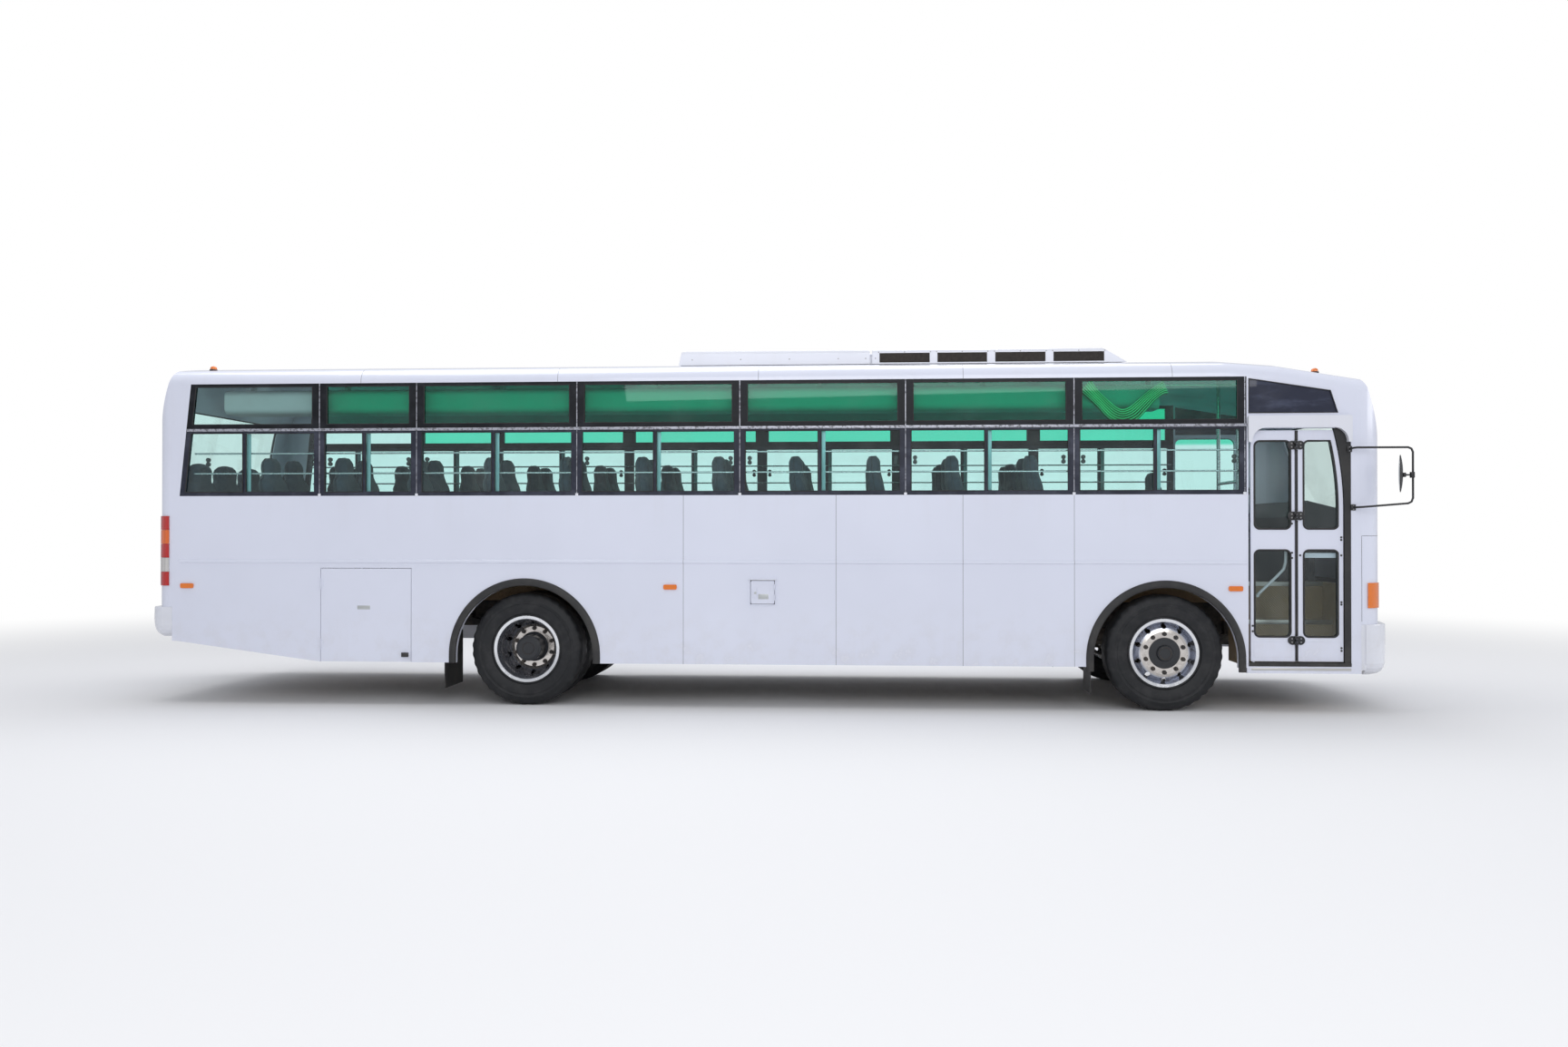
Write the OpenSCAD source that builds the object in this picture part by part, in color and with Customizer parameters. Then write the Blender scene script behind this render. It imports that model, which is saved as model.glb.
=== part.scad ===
// Airport passenger bus, front engined, with a folding entrance door.
// Millimetres. +X points to the front, +Y to the driver's side, +Z up.
// Stations along X are written from the rear axle. Module placed() moves
// them to the middle of the bus's length. The ground is at z = 0.

/* [Overall] */
// Distance between the front and rear axles
wheelbase = 5640; // [5400:10:5900]
// Width over the side panels
body_w = 2500; // [2440:10:2560]
// Rear axle to the middle of the rear face
rear_overhang = 3460; // [3380:10:3560]
// Front axle to the middle of the front face
front_overhang = 1983; // [1950:1:2050]
// Ground to the crown of the roof
roof_z = 3147; // [3120:1:3200]
// Radius of the roof's crown
crown_r = 6000; // [5000:100:8000]
// Radius where the roof turns into the sides
cant_r = 130; // [100:5:140]
// Thickness of the side walls
side_t = 40; // [36:1:46]
// Thickness of the roof, front and rear shells
shell_t = 30; // [24:1:36]

/* [Ends] */
// Radius of the front face seen from above
front_bulge_r = 4500; // [4000:100:6000]
// Radius of the front corners seen from above
front_corner_r = 220; // [180:5:240]
// Radius of the windscreen line seen from the side
screen_r = 4260; // [4000:20:5000]
// Height where the front face stands upright
screen_z = 1300; // [1200:10:1400]
// Radius of the roof's drop to the front
brow_r = 3500; // [3000:50:4000]
// Front axle to the start of the roof's drop
brow_x = 560; // [500:10:620]
// Radius between the roof and the windscreen line
brow_fillet = 160; // [120:5:200]
// Radius of the rear face seen from above
rear_bulge_r = 12000; // [10000:100:16000]
// Radius of the rear corners seen from above
rear_corner_r = 120; // [90:5:160]
// Radius of the rear face's lean seen from the side
tail_r = 3200; // [2800:50:4000]
// Height where the rear face stands upright
tail_z = 1900; // [1800:10:2000]
// Radius between the roof and the rear face
tail_fillet = 80; // [60:5:120]
// Seam of the rear end panel behind the rear axle
rear_seam = 3190; // [3170:5:3220]
// Slant of that seam between sill and roof
rear_slant = 105; // [80:5:120]
// Seam of the front end panel ahead of the front axle
front_seam = 1647; // [1640:1:1665]

/* [Heights] */
// Bottom edge of the skirt
skirt_z = 387; // [370:1:400]
// Bottom edge of the skirt at the rear end
tail_skirt_z = 564; // [540:1:600]
// Where the skirt starts to rise, behind the rear axle
skirt_kick_x = 1867; // [1850:1:1900]
// Underside of the belt rib
belt_z = 1277; // [1265:1:1290]
// Height of the belt rib
belt_h = 33; // [25:1:40]
// How far the belt rib stands out
belt_out = 9; // [6:1:12]
// Bottom of the window frames
sill_z = 1885; // [1870:1:1900]
// Top of the window frames
head_z = 2903; // [2895:1:2905]
// Top of the floor
floor_z = 1100; // [1090:1:1115]
// Thickness of the floor deck
deck_t = 40; // [30:1:45]

/* [Windows] */
// Rear edge of the third window bay, behind the rear axle
bay_start = 986; // [970:1:1000]
// Length of the second bay
bay_short = 897; // [880:1:920]
// Front end of the window band ahead of the front axle
bay_end = 679; // [670:1:684]
// Number of full window bays
bay_count = 5; // [4:1:6]
// Bottom and top of the upper panes
upper_z0 = 2534; // [2525:1:2545]
// Top of the upper panes
upper_z1 = 2875; // [2865:1:2885]
// Bottom of the sliding panes
lower_z0 = 1920; // [1915:1:1930]
// Top of the sliding panes
lower_z1 = 2454; // [2445:1:2460]
// Width of the pillar between two upper panes
pillar_w = 136; // [120:2:150]
// Width of the pillar between two lower panes
pillar_low_w = 100; // [90:2:110]
// Depth of the window frames
frame_t = 34; // [30:1:36]
// Thickness of the window glass
glass_t = 5; // [4:0.5:6]
// Width of the meeting stile of the sliding panes
stile_w = 26; // [20:1:30]
// Diameter of the guard rails inside the windows
guard_d = 16; // [12:1:20]
// Heights of the two guard rails
guard_zs = [2090, 2272];

/* [Wheels] */
// Radius of the tyres
tyre_r = 505; // [495:1:512]
// Width of a tyre
tyre_w = 279; // [265:1:285]
// Radius of the bead seat
bead_r = 286; // [280:1:290]
// Outer face of the front tyres from the middle of the bus
front_tyre_y = 1219; // [1210:1:1225]
// Outer face of the outer rear tyres from the middle of the bus
rear_tyre_y = 1190; // [1180:1:1200]
// Spacing of the twin tyres
twin_pitch = 320; // [312:1:325]
// King pin from the middle of the bus
king_y = 900; // [890:1:905]
// Radius of the front wheel arch
arch_r = 681; // [670:1:690]
// Radius of the rear wheel arch
rear_arch_r = 686; // [675:1:695]
// Width of the arch trims
arch_w = 65; // [55:1:70]
// Height of the centre of the arches
arch_z = 458; // [450:1:465]
// How far the arch trims stand out
arch_out = 24; // [18:1:30]

/* [Chassis] */
// Outer face of the frame rails from the middle
rail_y = 430; // [420:1:435]
// Bottom of the frame rails
rail_z = 660; // [650:1:670]
// Height of the frame rails
rail_h = 250; // [240:1:260]
// Width of the rails' flanges
rail_w = 80; // [70:1:90]
// Thickness of the rails
rail_t = 9; // [7:1:12]
// Number of cross members
member_count = 11; // [11:1:12]
// Middle of the leaf springs from the middle
spring_y = 485; // [482:1:492]
// Width of the leaf springs
spring_w = 70; // [60:1:76]
// Length of a leaf spring
spring_l = 1500; // [1400:10:1560]
// Number of leaves in a spring
leaf_count = 5; // [4:1:6]
// Thickness of one leaf
leaf_t = 13; // [11:1:14]

/* [Door] */
// Rear edge of the door opening ahead of the front axle
door_x0 = 702; // [700:1:706]
// Front edge of the door opening ahead of the front axle
door_x1 = 1565; // [1560:1:1570]
// Top of the entrance sill
entry_z = 434; // [425:1:440]
// Bottom of the door leaves
leaf_z0 = 443; // [441:1:450]
// Top of the door leaves
leaf_z1 = 2436; // [2420:1:2440]
// Thickness of the door leaves
leaf_t_door = 30; // [26:1:34]
// Outer face of the leaves from the middle of the bus
leaf_y = 1232; // [1228:1:1234]
// Rear edge of the rear leaf ahead of the front axle
leaf_x0 = 727; // [724:1:730]
// Width of each leaf's seal gap to the hinge line
hinge_gap = 14; // [12:1:16]
// Width of the rear leaf from its edge to the hinge line
leaf_w = 382; // [378:1:384]
// Pivot shaft from the rear edge of the rear leaf
pivot_in = 25; // [22:1:28]
// Hinge line outside the leaves' outer face
hinge_out = 23; // [21:1:26]
// Heights of the three hinges
hinge_zs = [625, 1698, 2308];
// Height of one hinge
hinge_h = 74; // [70:1:80]

/* [Hidden] */

fit = 0.3;
$fn = 96;

half_w = body_w / 2;
wall_in = half_w - side_t;
x_front = wheelbase + front_overhang;
x_rear = -rear_overhang;
bumper_out = 62;
rear_bumper_out = 66;
mirror_reach = 2057;
x_nose = max(x_front + bumper_out, wheelbase + mirror_reach);
x_tail = x_rear - rear_bumper_out;
x_mid = (x_nose + x_tail) / 2;
x_seam = wheelbase + front_seam;
x_band_end = wheelbase + bay_end;
bay_pitch = (x_band_end + bay_start) / bay_count;
bay_xs = concat([-rear_seam + 60, -bay_start - bay_short],
                [for (i = [0:bay_count]) -bay_start + i * bay_pitch]);

module placed() translate([-x_mid, 0, 0]) children();
module both_sides() {
  children();
  mirror([0, 1, 0]) children();
}

// Point where a circle c1, r1 meets a circle c2, r2, to the right of c1 to c2
function meet(c1, r1, c2, r2) =
  let (d = norm(c2 - c1), u = (c2 - c1) / d, a = (r1 * r1 - r2 * r2 + d * d) / (2 * d))
  c1 + a * u + sqrt(r1 * r1 - a * a) * [u.y, -u.x];
function aim(from, to) = atan2(to.y - from.y, to.x - from.x);

// What a fillet of radius r round c takes off between directions a0 and a1
module corner_waste(c, r, a0, a1) {
  far = 2.2 * r + 20;
  mid = (a0 + a1) / 2;
  difference() {
    polygon([c, c + far * [cos(a0), sin(a0)], c + 1.5 * far * [cos(mid), sin(mid)],
             c + far * [cos(a1), sin(a1)]]);
    translate(c) circle(r);
  }
}

// Outline of the body seen from behind, each surface moved in by d
crown_c = [0, roof_z - crown_r];
cant_c = [half_w - cant_r, crown_c.y + sqrt(pow(crown_r - cant_r, 2) - pow(half_w - cant_r, 2))];
module section_2d(d) {
  difference() {
    intersection() {
      translate(crown_c) circle(crown_r - d, $fn = 360);
      translate([-half_w + d, 0]) square([body_w - 2 * d, roof_z + 100]);
    }
    for (s = [0, 1]) {
      mirror([s, 0]) corner_waste(cant_c, cant_r - d, 0, aim(crown_c, cant_c));
    }
  }
}

// Outline of the body seen from above
bulge_c = [x_front - front_bulge_r, 0];
corner_y = half_w - front_corner_r;
corner_c = [bulge_c.x + sqrt(pow(front_bulge_r - front_corner_r, 2) - corner_y * corner_y), corner_y];
tail_bulge_c = [x_rear + rear_bulge_r, 0];
tail_y = half_w - rear_corner_r;
tail_c = [tail_bulge_c.x - sqrt(pow(rear_bulge_r - rear_corner_r, 2) - tail_y * tail_y), tail_y];
module plan_2d(d) {
  difference() {
    intersection() {
      translate(bulge_c) circle(front_bulge_r - d, $fn = 360);
      translate([x_rear - 200, -half_w + d]) square([x_front - x_rear + 400, body_w - 2 * d]);
    }
    for (s = [0, 1]) {
      mirror([0, s]) corner_waste(corner_c, front_corner_r - d, aim(bulge_c, corner_c), 90);
    }
  }
}
module tail_plan_2d(d) {
  difference() {
    intersection() {
      translate(tail_bulge_c) circle(rear_bulge_r - d, $fn = 720);
      translate([x_rear - 200, -half_w + d]) square([3000, body_w - 2 * d]);
    }
    for (s = [0, 1]) {
      mirror([0, s]) corner_waste(tail_c, rear_corner_r - d, 90, aim(tail_bulge_c, tail_c));
    }
  }
}

// Outline of the body seen from the right side
screen_c = [x_front - screen_r, screen_z];
brow_c = [wheelbase + brow_x, roof_z - brow_r];
nose_c = meet(brow_c, brow_r - brow_fillet, screen_c, screen_r - brow_fillet);
tail_lean_c = [x_rear + tail_r, tail_z];
tail_top_c = [tail_lean_c.x - sqrt(pow(tail_r - tail_fillet, 2) - pow(roof_z - tail_fillet - tail_z, 2)),
              roof_z - tail_fillet];
module front_side_2d(d) {
  difference() {
    intersection() {
      union() {
        translate([0, -400]) square([wheelbase + brow_x, roof_z + 400 - d]);
        intersection() {
          translate(brow_c) circle(brow_r - d, $fn = 360);
          translate([wheelbase + brow_x - 1, -400]) square([3000, roof_z + 400]);
        }
      }
      union() {
        translate(screen_c) circle(screen_r - d, $fn = 360);
        translate([0, -400]) square([x_front - d, screen_z + 400]);
      }
    }
    corner_waste(nose_c, brow_fillet - d, aim(screen_c, nose_c), aim(brow_c, nose_c));
  }
}
module rear_side_2d(d) {
  difference() {
    intersection() {
      union() {
        translate(tail_lean_c) circle(tail_r - d, $fn = 360);
        translate([x_rear + d, -400]) square([3000, tail_z + 400]);
      }
      translate([x_rear - 100, -400]) square([3000, roof_z + 400 - d]);
    }
    corner_waste(tail_top_c, tail_fillet - d, 90, aim(tail_lean_c, tail_top_c));
  }
}

module from_behind(x0, x1) translate([x0, 0, 0]) rotate([90, 0, 90]) linear_extrude(x1 - x0) children();
module from_side(y0, y1) translate([0, y1, 0]) rotate([90, 0, 0]) linear_extrude(y1 - y0) children();
module from_above(z0, z1) translate([0, 0, z0]) linear_extrude(z1 - z0) children();
module block(lo, hi) translate(lo) cube(hi - lo);
module rod_x(x0, x1, y, z, r) translate([x0, y, z]) rotate([0, 90, 0]) cylinder(h = x1 - x0, r = r);
module rod_y(x, y0, y1, z, r) translate([x, y1, z]) rotate([90, 0, 0]) cylinder(h = y1 - y0, r = r);
module rod_z(x, y, z0, z1, r) translate([x, y, z0]) cylinder(h = z1 - z0, r = r);

// A rectangle with round corners
module rounded_2d(lo, hi, r) {
  translate([lo.x + r, lo.y]) square([hi.x - lo.x - 2 * r, hi.y - lo.y]);
  translate([lo.x, lo.y + r]) square([hi.x - lo.x, hi.y - lo.y - 2 * r]);
  for (x = [lo.x + r, hi.x - r], y = [lo.y + r, hi.y - r]) {
    translate([x, y]) circle(r);
  }
}

// The front and rear halves of the body as solids, moved in by d
module front_body(d) {
  intersection() {
    from_behind(wheelbase, x_front + 100) section_2d(d);
    from_side(-half_w, half_w) front_side_2d(d);
    from_above(-400, roof_z + 100) plan_2d(d);
  }
}
module rear_body(d) {
  intersection() {
    from_behind(x_rear - 100, 0) section_2d(d);
    from_side(-half_w, half_w) rear_side_2d(d);
    from_above(-400, roof_z + 100) tail_plan_2d(d);
  }
}

// Frame rails of channel section with cross members and tow eyes
rail_x0 = x_rear + 260;
rail_x1 = x_front - 440;
member_step = (rail_x1 - rail_x0 - 130) / (member_count - 1);
member_w = 60;
member_low = 100;
web_in = rail_y - rail_t - fit;
function member_x(i) = rail_x0 + 65 + i * member_step;
rail_top = rail_z + rail_h;
tow_rear_z = rail_z + 80;
tow_front_z = rail_z - 60;
tow_r = 20;
tow_out_r = 45;
tow_w = 40;
module rail() {
  difference() {
    block([rail_x0, rail_y - rail_w, rail_z], [rail_x1, rail_y, rail_top]);
    block([rail_x0 - 1, rail_y - rail_w - 1, rail_z + rail_t], [rail_x1 + 1, rail_y - rail_t, rail_top - rail_t]);
  }
}
// Tow eye at x on a bar that starts at x_root
module tow_eye(x, x_root, z) {
  difference() {
    union() {
      rod_y(x, -tow_w / 2, tow_w / 2, z, tow_out_r);
      block([min(x, x_root), -tow_w / 2, z - tow_out_r], [max(x, x_root), tow_w / 2, z + tow_out_r]);
    }
    rod_y(x, -tow_w, tow_w, z, tow_r);
  }
}
tow_rear_x = x_tail + tow_out_r;
tow_front_x = x_front + bumper_out - tow_out_r;
module chassis_frame() {
  placed() color("dimgray") {
    both_sides() rail();
    for (i = [0:member_count - 1]) {
      block([member_x(i) - member_w / 2, -web_in, rail_z + member_low],
            [member_x(i) + member_w / 2, web_in, rail_top - 30]);
    }
    for (x = [rail_x0, rail_x1 - rail_t]) {
      block([x, -web_in, rail_z + rail_t + fit], [x + rail_t, web_in, rail_top - rail_t - fit]);
    }
    block([rail_x1 - 50, -60, tow_front_z - tow_out_r], [rail_x1 - 10, 60, rail_z + member_low + 30]);
    tow_eye(tow_rear_x, rail_x0 + 5, tow_rear_z);
    tow_eye(tow_front_x, rail_x1 - 20, tow_front_z);
  }
}

// Engine with sump and gearbox, a plain mass between the rails
engine_x0 = member_x(member_count - 2) + 65;
engine_x1 = member_x(member_count - 1) - 65;
engine_w = 640;
engine_top = 1380;
gear_z = tyre_r + 58;
gear_r = 125;
gear_x0 = engine_x0 - 900;
module engine_block() {
  placed() color("darkslategray") {
    block([engine_x0, -engine_w / 2, rail_z - 40], [engine_x1, engine_w / 2, engine_top]);
    block([engine_x0 + 120, -170, rail_z - 170], [engine_x1 - 160, 170, rail_z - 20]);
    rod_x(gear_x0, engine_x0 + 10, 0, gear_z, gear_r);
    for (x = [engine_x0 + 150, engine_x1 - 230]) {
      block([x, -web_in, rail_z + 40], [x + 80, web_in, rail_z + member_low]);
    }
  }
}

// Two-piece propeller shaft with its universal joints
shaft_r = 48;
diff_nose_x = 430;
module propshaft() {
  x0 = diff_nose_x + 15 + fit;
  x1 = gear_x0 - fit;
  mid_x = member_x(6);
  placed() color("gray") {
    rod_x(x0, x1, 0, gear_z, shaft_r);
    for (x = [x0, mid_x + 60, x1 - 70]) {
      rod_x(x, x + 70, 0, gear_z, shaft_r + 22);
    }
    difference() {
      union() {
        rod_x(mid_x - 30, mid_x + 30, 0, gear_z, shaft_r + 34);
        both_sides() block([mid_x - 30, shaft_r + 8, gear_z], [mid_x + 30, shaft_r + 34, rail_z + 100]);
      }
      rod_x(mid_x - 31, mid_x + 31, 0, gear_z, shaft_r + fit);
    }
  }
}

// Dropped front axle beam of forged I section with king pin bosses
beam_t = 92;
pad_z = tyre_r - 45;
boss_h = 110;
boss_r = 46;
pin_r = 20;
module front_axle() {
  bx = wheelbase;
  placed() color("dimgray") difference() {
    union() {
      from_behind(bx - beam_t / 2, bx + beam_t / 2) polygon([
        [-king_y, tyre_r - 45], [-king_y + 90, tyre_r - 50], [-spring_y - 60, pad_z - 85], [-spring_y + 60, pad_z - 85],
        [-340, pad_z - 120], [340, pad_z - 120], [spring_y - 60, pad_z - 85], [spring_y + 60, pad_z - 85],
        [king_y - 90, tyre_r - 50], [king_y, tyre_r - 45], [king_y, tyre_r + 45], [king_y - 90, tyre_r + 40],
        [spring_y + 60, pad_z], [spring_y - 60, pad_z], [320, pad_z - 35], [-320, pad_z - 35],
        [-spring_y + 60, pad_z], [-spring_y - 60, pad_z], [-king_y + 90, tyre_r + 40], [-king_y, tyre_r + 45]]);
      both_sides() rod_z(bx, king_y, tyre_r - boss_h / 2, tyre_r + boss_h / 2, boss_r);
    }
    both_sides() rod_z(bx, king_y, tyre_r - 100, tyre_r + 100, pin_r);
    for (s = [-1, 1]) {
      translate([bx + s * (beam_t / 2 - 14), 0, 0]) {
        block([min(0, s * 20), -300, pad_z - 105], [max(0, s * 20), 300, pad_z - 50]);
      }
    }
  }
}

// Banjo rear axle
tube_r = 66;
hub_in_y = rear_tyre_y - tyre_w - twin_pitch + 18;
rear_nose_y = rear_tyre_y - 72;
spindle_y = rear_nose_y - 80;
rear_pad_z = tyre_r + tube_r + 12;
clamp_z = tyre_r - tube_r - 14;
clamp_l = 160;
clamp_w = spring_w + 50;
module rear_axle() {
  placed() color("dimgray") {
    rod_y(0, -hub_in_y, hub_in_y, tyre_r, tube_r);
    both_sides() rod_y(0, hub_in_y - 20, spindle_y, tyre_r, axle_end_r);
    translate([0, 0, tyre_r]) rotate([0, 90, 0]) cylinder(h = 300, r = 190, center = true);
    rod_x(140, diff_nose_x - 60, 0, gear_z, 105);
    rod_x(diff_nose_x - 80, diff_nose_x + 15, 0, gear_z, 40);
    both_sides() block([-clamp_l / 2, spring_y - clamp_w / 2, clamp_z], [clamp_l / 2, spring_y + clamp_w / 2, rear_pad_z]);
  }
}

// Leaf spring packs with their eyes, and the hangers on the frame rails
spring_r = 2800;
module leaf_pack(x, z) {
  from_side(spring_y - spring_w / 2, spring_y + spring_w / 2) {
    translate([x, z + spring_r]) {
      for (i = [0:leaf_count - 1]) {
        reach = spring_l / 2 - (leaf_count - 1 - i) * 110;
        intersection() {
          difference() {
            circle(spring_r - i * leaf_t, $fn = 360);
            circle(spring_r - (i + 1) * leaf_t, $fn = 360);
          }
          translate([-reach, -spring_r - 10]) square([2 * reach, 300]);
        }
      }
      for (s = [-1, 1]) {
        translate([s * spring_l / 2, -spring_r + leaf_rise + leaf_count * leaf_t - leaf_t / 2]) circle(24);
      }
    }
  }
}
leaf_rise = spring_r - sqrt(spring_r * spring_r - spring_l * spring_l / 4);
module hanger(x, z) {
  eye_z = z + leaf_rise + leaf_count * leaf_t - leaf_t / 2;
  difference() {
    block([x - 40, rail_y, min(eye_z - 5, rail_top - 150)], [x + 40, spring_y + spring_w / 2 + 12, rail_top - 20]);
    block([x - 60, spring_y - spring_w / 2 - fit, eye_z - 400], [x + 60, spring_y + spring_w / 2 + fit, eye_z + 24 + fit]);
  }
}
module leaf_springs() {
  placed() color("gray") both_sides() {
    leaf_pack(0, rear_pad_z);
    leaf_pack(wheelbase, pad_z);
    for (s = [-1, 1]) {
      hanger(s * spring_l / 2, rear_pad_z);
      hanger(wheelbase + s * spring_l / 2, pad_z);
    }
  }
}

// Fuel tank hung under the floor bearers behind its flap
tank_x0 = 1560;
tank_x1 = 2680;
module fuel_tank() {
  placed() color("darkgray") {
    translate([tank_x0, 0, 0]) rotate([90, 0, 90]) linear_extrude(tank_x1 - tank_x0) {
      rounded_2d([-wall_in + 60, 430], [-rail_y - 60, rail_top], 60);
    }
    for (x = [tank_x0 + 200, tank_x1 - 240]) {
      translate([x, 0, 0]) rotate([90, 0, 90]) linear_extrude(40) difference() {
        rounded_2d([-wall_in + 55, 425], [-rail_y - 55, rail_top], 65);
        rounded_2d([-wall_in + 60, 430], [-rail_y - 60, rail_top + 10], 60);
      }
    }
    translate([2130, 0, 0]) filler_neck();
  }
}
neck_z = 1008;
neck_r = 38;
module filler_neck() {
  difference() {
    union() {
      rod_y(0, -wall_in + 8, -wall_in + 150, neck_z, neck_r + 6);
      rod_z(0, -wall_in + 125, rail_top - 1, neck_z, 30);
    }
    rod_y(0, -wall_in + 7, -wall_in + 110, neck_z, neck_r);
  }
}

// Air tanks on the driver's side, hung from the floor deck
under_z = 640;
air_l = 720;
air_r = 120;
air_y = 860;
module air_tanks() {
  placed() color("gray") for (x = [member_x(4) + 170, member_x(5) + 130]) {
    rod_x(x, x + air_l, air_y, under_z, air_r);
    for (dx = [160, air_l - 190]) {
      block([x + dx, air_y - 20, under_z + air_r - 10], [x + dx + 30, air_y + 20, floor_z - deck_t]);
    }
  }
}

// Silencer and tail pipe
muffler_x0 = member_x(6) + 483;
muffler_l = 900;
muffler_r = 130;
muffler_y = 800;
pipe_r = 42;
module exhaust() {
  x1 = muffler_x0 + muffler_l;
  outlet_x = muffler_x0 - 550;
  placed() color("gray") {
    rod_x(muffler_x0, x1, muffler_y, under_z, muffler_r);
    rod_x(outlet_x, muffler_x0 + 20, muffler_y, under_z, pipe_r);
    rod_x(x1 - 20, x1 + 300, muffler_y, under_z, pipe_r);
    rod_y(outlet_x, muffler_y - 40, wall_in - 40, under_z, pipe_r);
    for (x = [muffler_x0 + 150, x1 - 200]) {
      block([x, muffler_y - 20, under_z + muffler_r - 5], [x + 30, muffler_y + 20, floor_z - deck_t]);
    }
  }
}

// Floor deck in sheets on cross bearers, with raised boxes over the wheels
well_x = 625;
well_y = 560;
well_rise = 70;
well_t = 12;
step_x0 = wheelbase + door_x0 - 2;
step_x1 = wheelbase + door_x1 + 2;
step_y = 545;
step_wall = 30;
hatch_x0 = engine_x0 - 30;
hatch_x1 = engine_x1 + 30;
hatch_w = engine_w + 60;
deck_x0 = x_rear + 330;
deck_x1 = x_seam - 2;
deck_joints = [-well_x, well_x, wheelbase - well_x, hatch_x0, wheelbase + well_x, step_x0 - step_wall,
               hatch_x1, step_x1 + step_wall];
module wheel_well(x, d) {
  block([x - well_x + d, well_y + d, rail_top - 300], [x + well_x - d, wall_in + 1, floor_z + well_rise - d]);
}
module floor() {
  placed() color("burlywood") {
    difference() {
      union() {
        block([deck_x0, -wall_in, floor_z - deck_t], [deck_x1, wall_in, floor_z]);
        for (i = [0:member_count - 1]) {
          block([member_x(i) - 30, -wall_in, rail_top], [member_x(i) + 30, wall_in, floor_z - deck_t - fit]);
        }
      }
      both_sides() for (x = [0, wheelbase]) {
        wheel_well(x, -fit);
      }
      for (x = deck_joints) {
        block([x - fit, -half_w, floor_z - deck_t - 1], [x, half_w, floor_z + 1]);
      }
      block([step_x0 - step_wall, -half_w, 0], [step_x1 + step_wall, -step_y, floor_z + 10]);
      block([hatch_x0, -hatch_w / 2, 0], [hatch_x1, hatch_w / 2, floor_z + 10]);
    }
    both_sides() for (x = [0, wheelbase]) {
      difference() {
        block([x - well_x, well_y, rail_top], [x + well_x, wall_in, floor_z + well_rise]);
        wheel_well(x, well_t);
      }
    }
  }
}

// Entrance steps with closed risers and side walls
tread_in = 800;
tread2_z = (entry_z + floor_z) / 2;
step_t = 20;
module stepwell() {
  placed() color("tan") {
    from_behind(step_x0 - step_wall, step_x1 + step_wall) polygon([
      [-wall_in, entry_z - 30], [-wall_in, entry_z],
      [-tread_in, entry_z], [-tread_in, tread2_z], [-step_y - step_t, tread2_z], [-step_y - step_t, floor_z],
      [-step_y, floor_z], [-step_y, tread2_z - step_t], [-tread_in + step_t, tread2_z - step_t],
      [-tread_in + step_t, entry_z - 30]]);
    for (x = [step_x0 - step_wall, step_x1 + step_wall - step_t]) {
      difference() {
        block([x, -wall_in, entry_z], [x + step_t, -step_y - step_t, floor_z]);
        block([x - 1, -tread_in, 0], [x + step_t + 1, 0, tread2_z]);
      }
    }
  }
}

// Open box behind the locker flap
locker_x0 = -1866;
locker_x1 = -1035;
locker_z1 = 1230;
seam_gap = 4;
module locker_box() {
  placed() color("silver") difference() {
    block([locker_x0 - 10, -wall_in, 410], [locker_x1 + 10, -rail_y - 120, rail_top]);
    block([locker_x0, -wall_in - 1, 420], [locker_x1, -rail_y - 130, rail_top - 10]);
  }
}

// Side panels below the windows, with the belt rib, arches and flap openings
side_x1 = wheelbase + 688;
arch_cut = arch_w;
module arch_hole(x, r) {
  translate([x, arch_z]) circle(r);
  translate([x - r, 0]) square([2 * r, arch_z]);
}
module side_panel_2d() {
  difference() {
    polygon([[-rear_seam, tail_skirt_z], [-skirt_kick_x, skirt_z], [side_x1, skirt_z],
             [side_x1, sill_z], [-rear_seam, sill_z]]);
    arch_hole(0, rear_arch_r - arch_cut);
    arch_hole(wheelbase, arch_r - arch_cut);
  }
}
module belt_rib() {
  translate([0, -half_w, belt_z]) rotate([90, 0, 90]) translate([0, 0, -rear_seam])
    linear_extrude(rear_seam + side_x1) polygon([[0.5, 0], [-belt_out, 7], [-belt_out, belt_h - 7], [0.5, belt_h]]);
}
fuel_x0 = 2034;
fuel_x1 = 2243;
fuel_z0 = 924;
fuel_z1 = 1128;
hinge_y = half_w + 6;
module barrel(x, z0, z1, s) {
  rod_z(x, -hinge_y, z0, z1, 5.5);
  block([min(x, x + s * 26), -half_w - 3, z0], [max(x, x + s * 26), -half_w + 1, z1]);
}
locker_hinge_x = locker_x0 - 2;
fuel_hinge_x = fuel_x1 + 2;
locker_hinge_zs = [520, 1060];
fuel_hinge_zs = [966, 1056];
locker_barrel = 60;
fuel_barrel = 30;
front_panel_x = wheelbase - 780;
panel_seams = [1433, 2787, 3897, front_panel_x];
module panel_joints() {
  for (x = panel_seams) {
    block([x - fit, -half_w - 20, 0], [x, 0, sill_z + 1]);
  }
}
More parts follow.
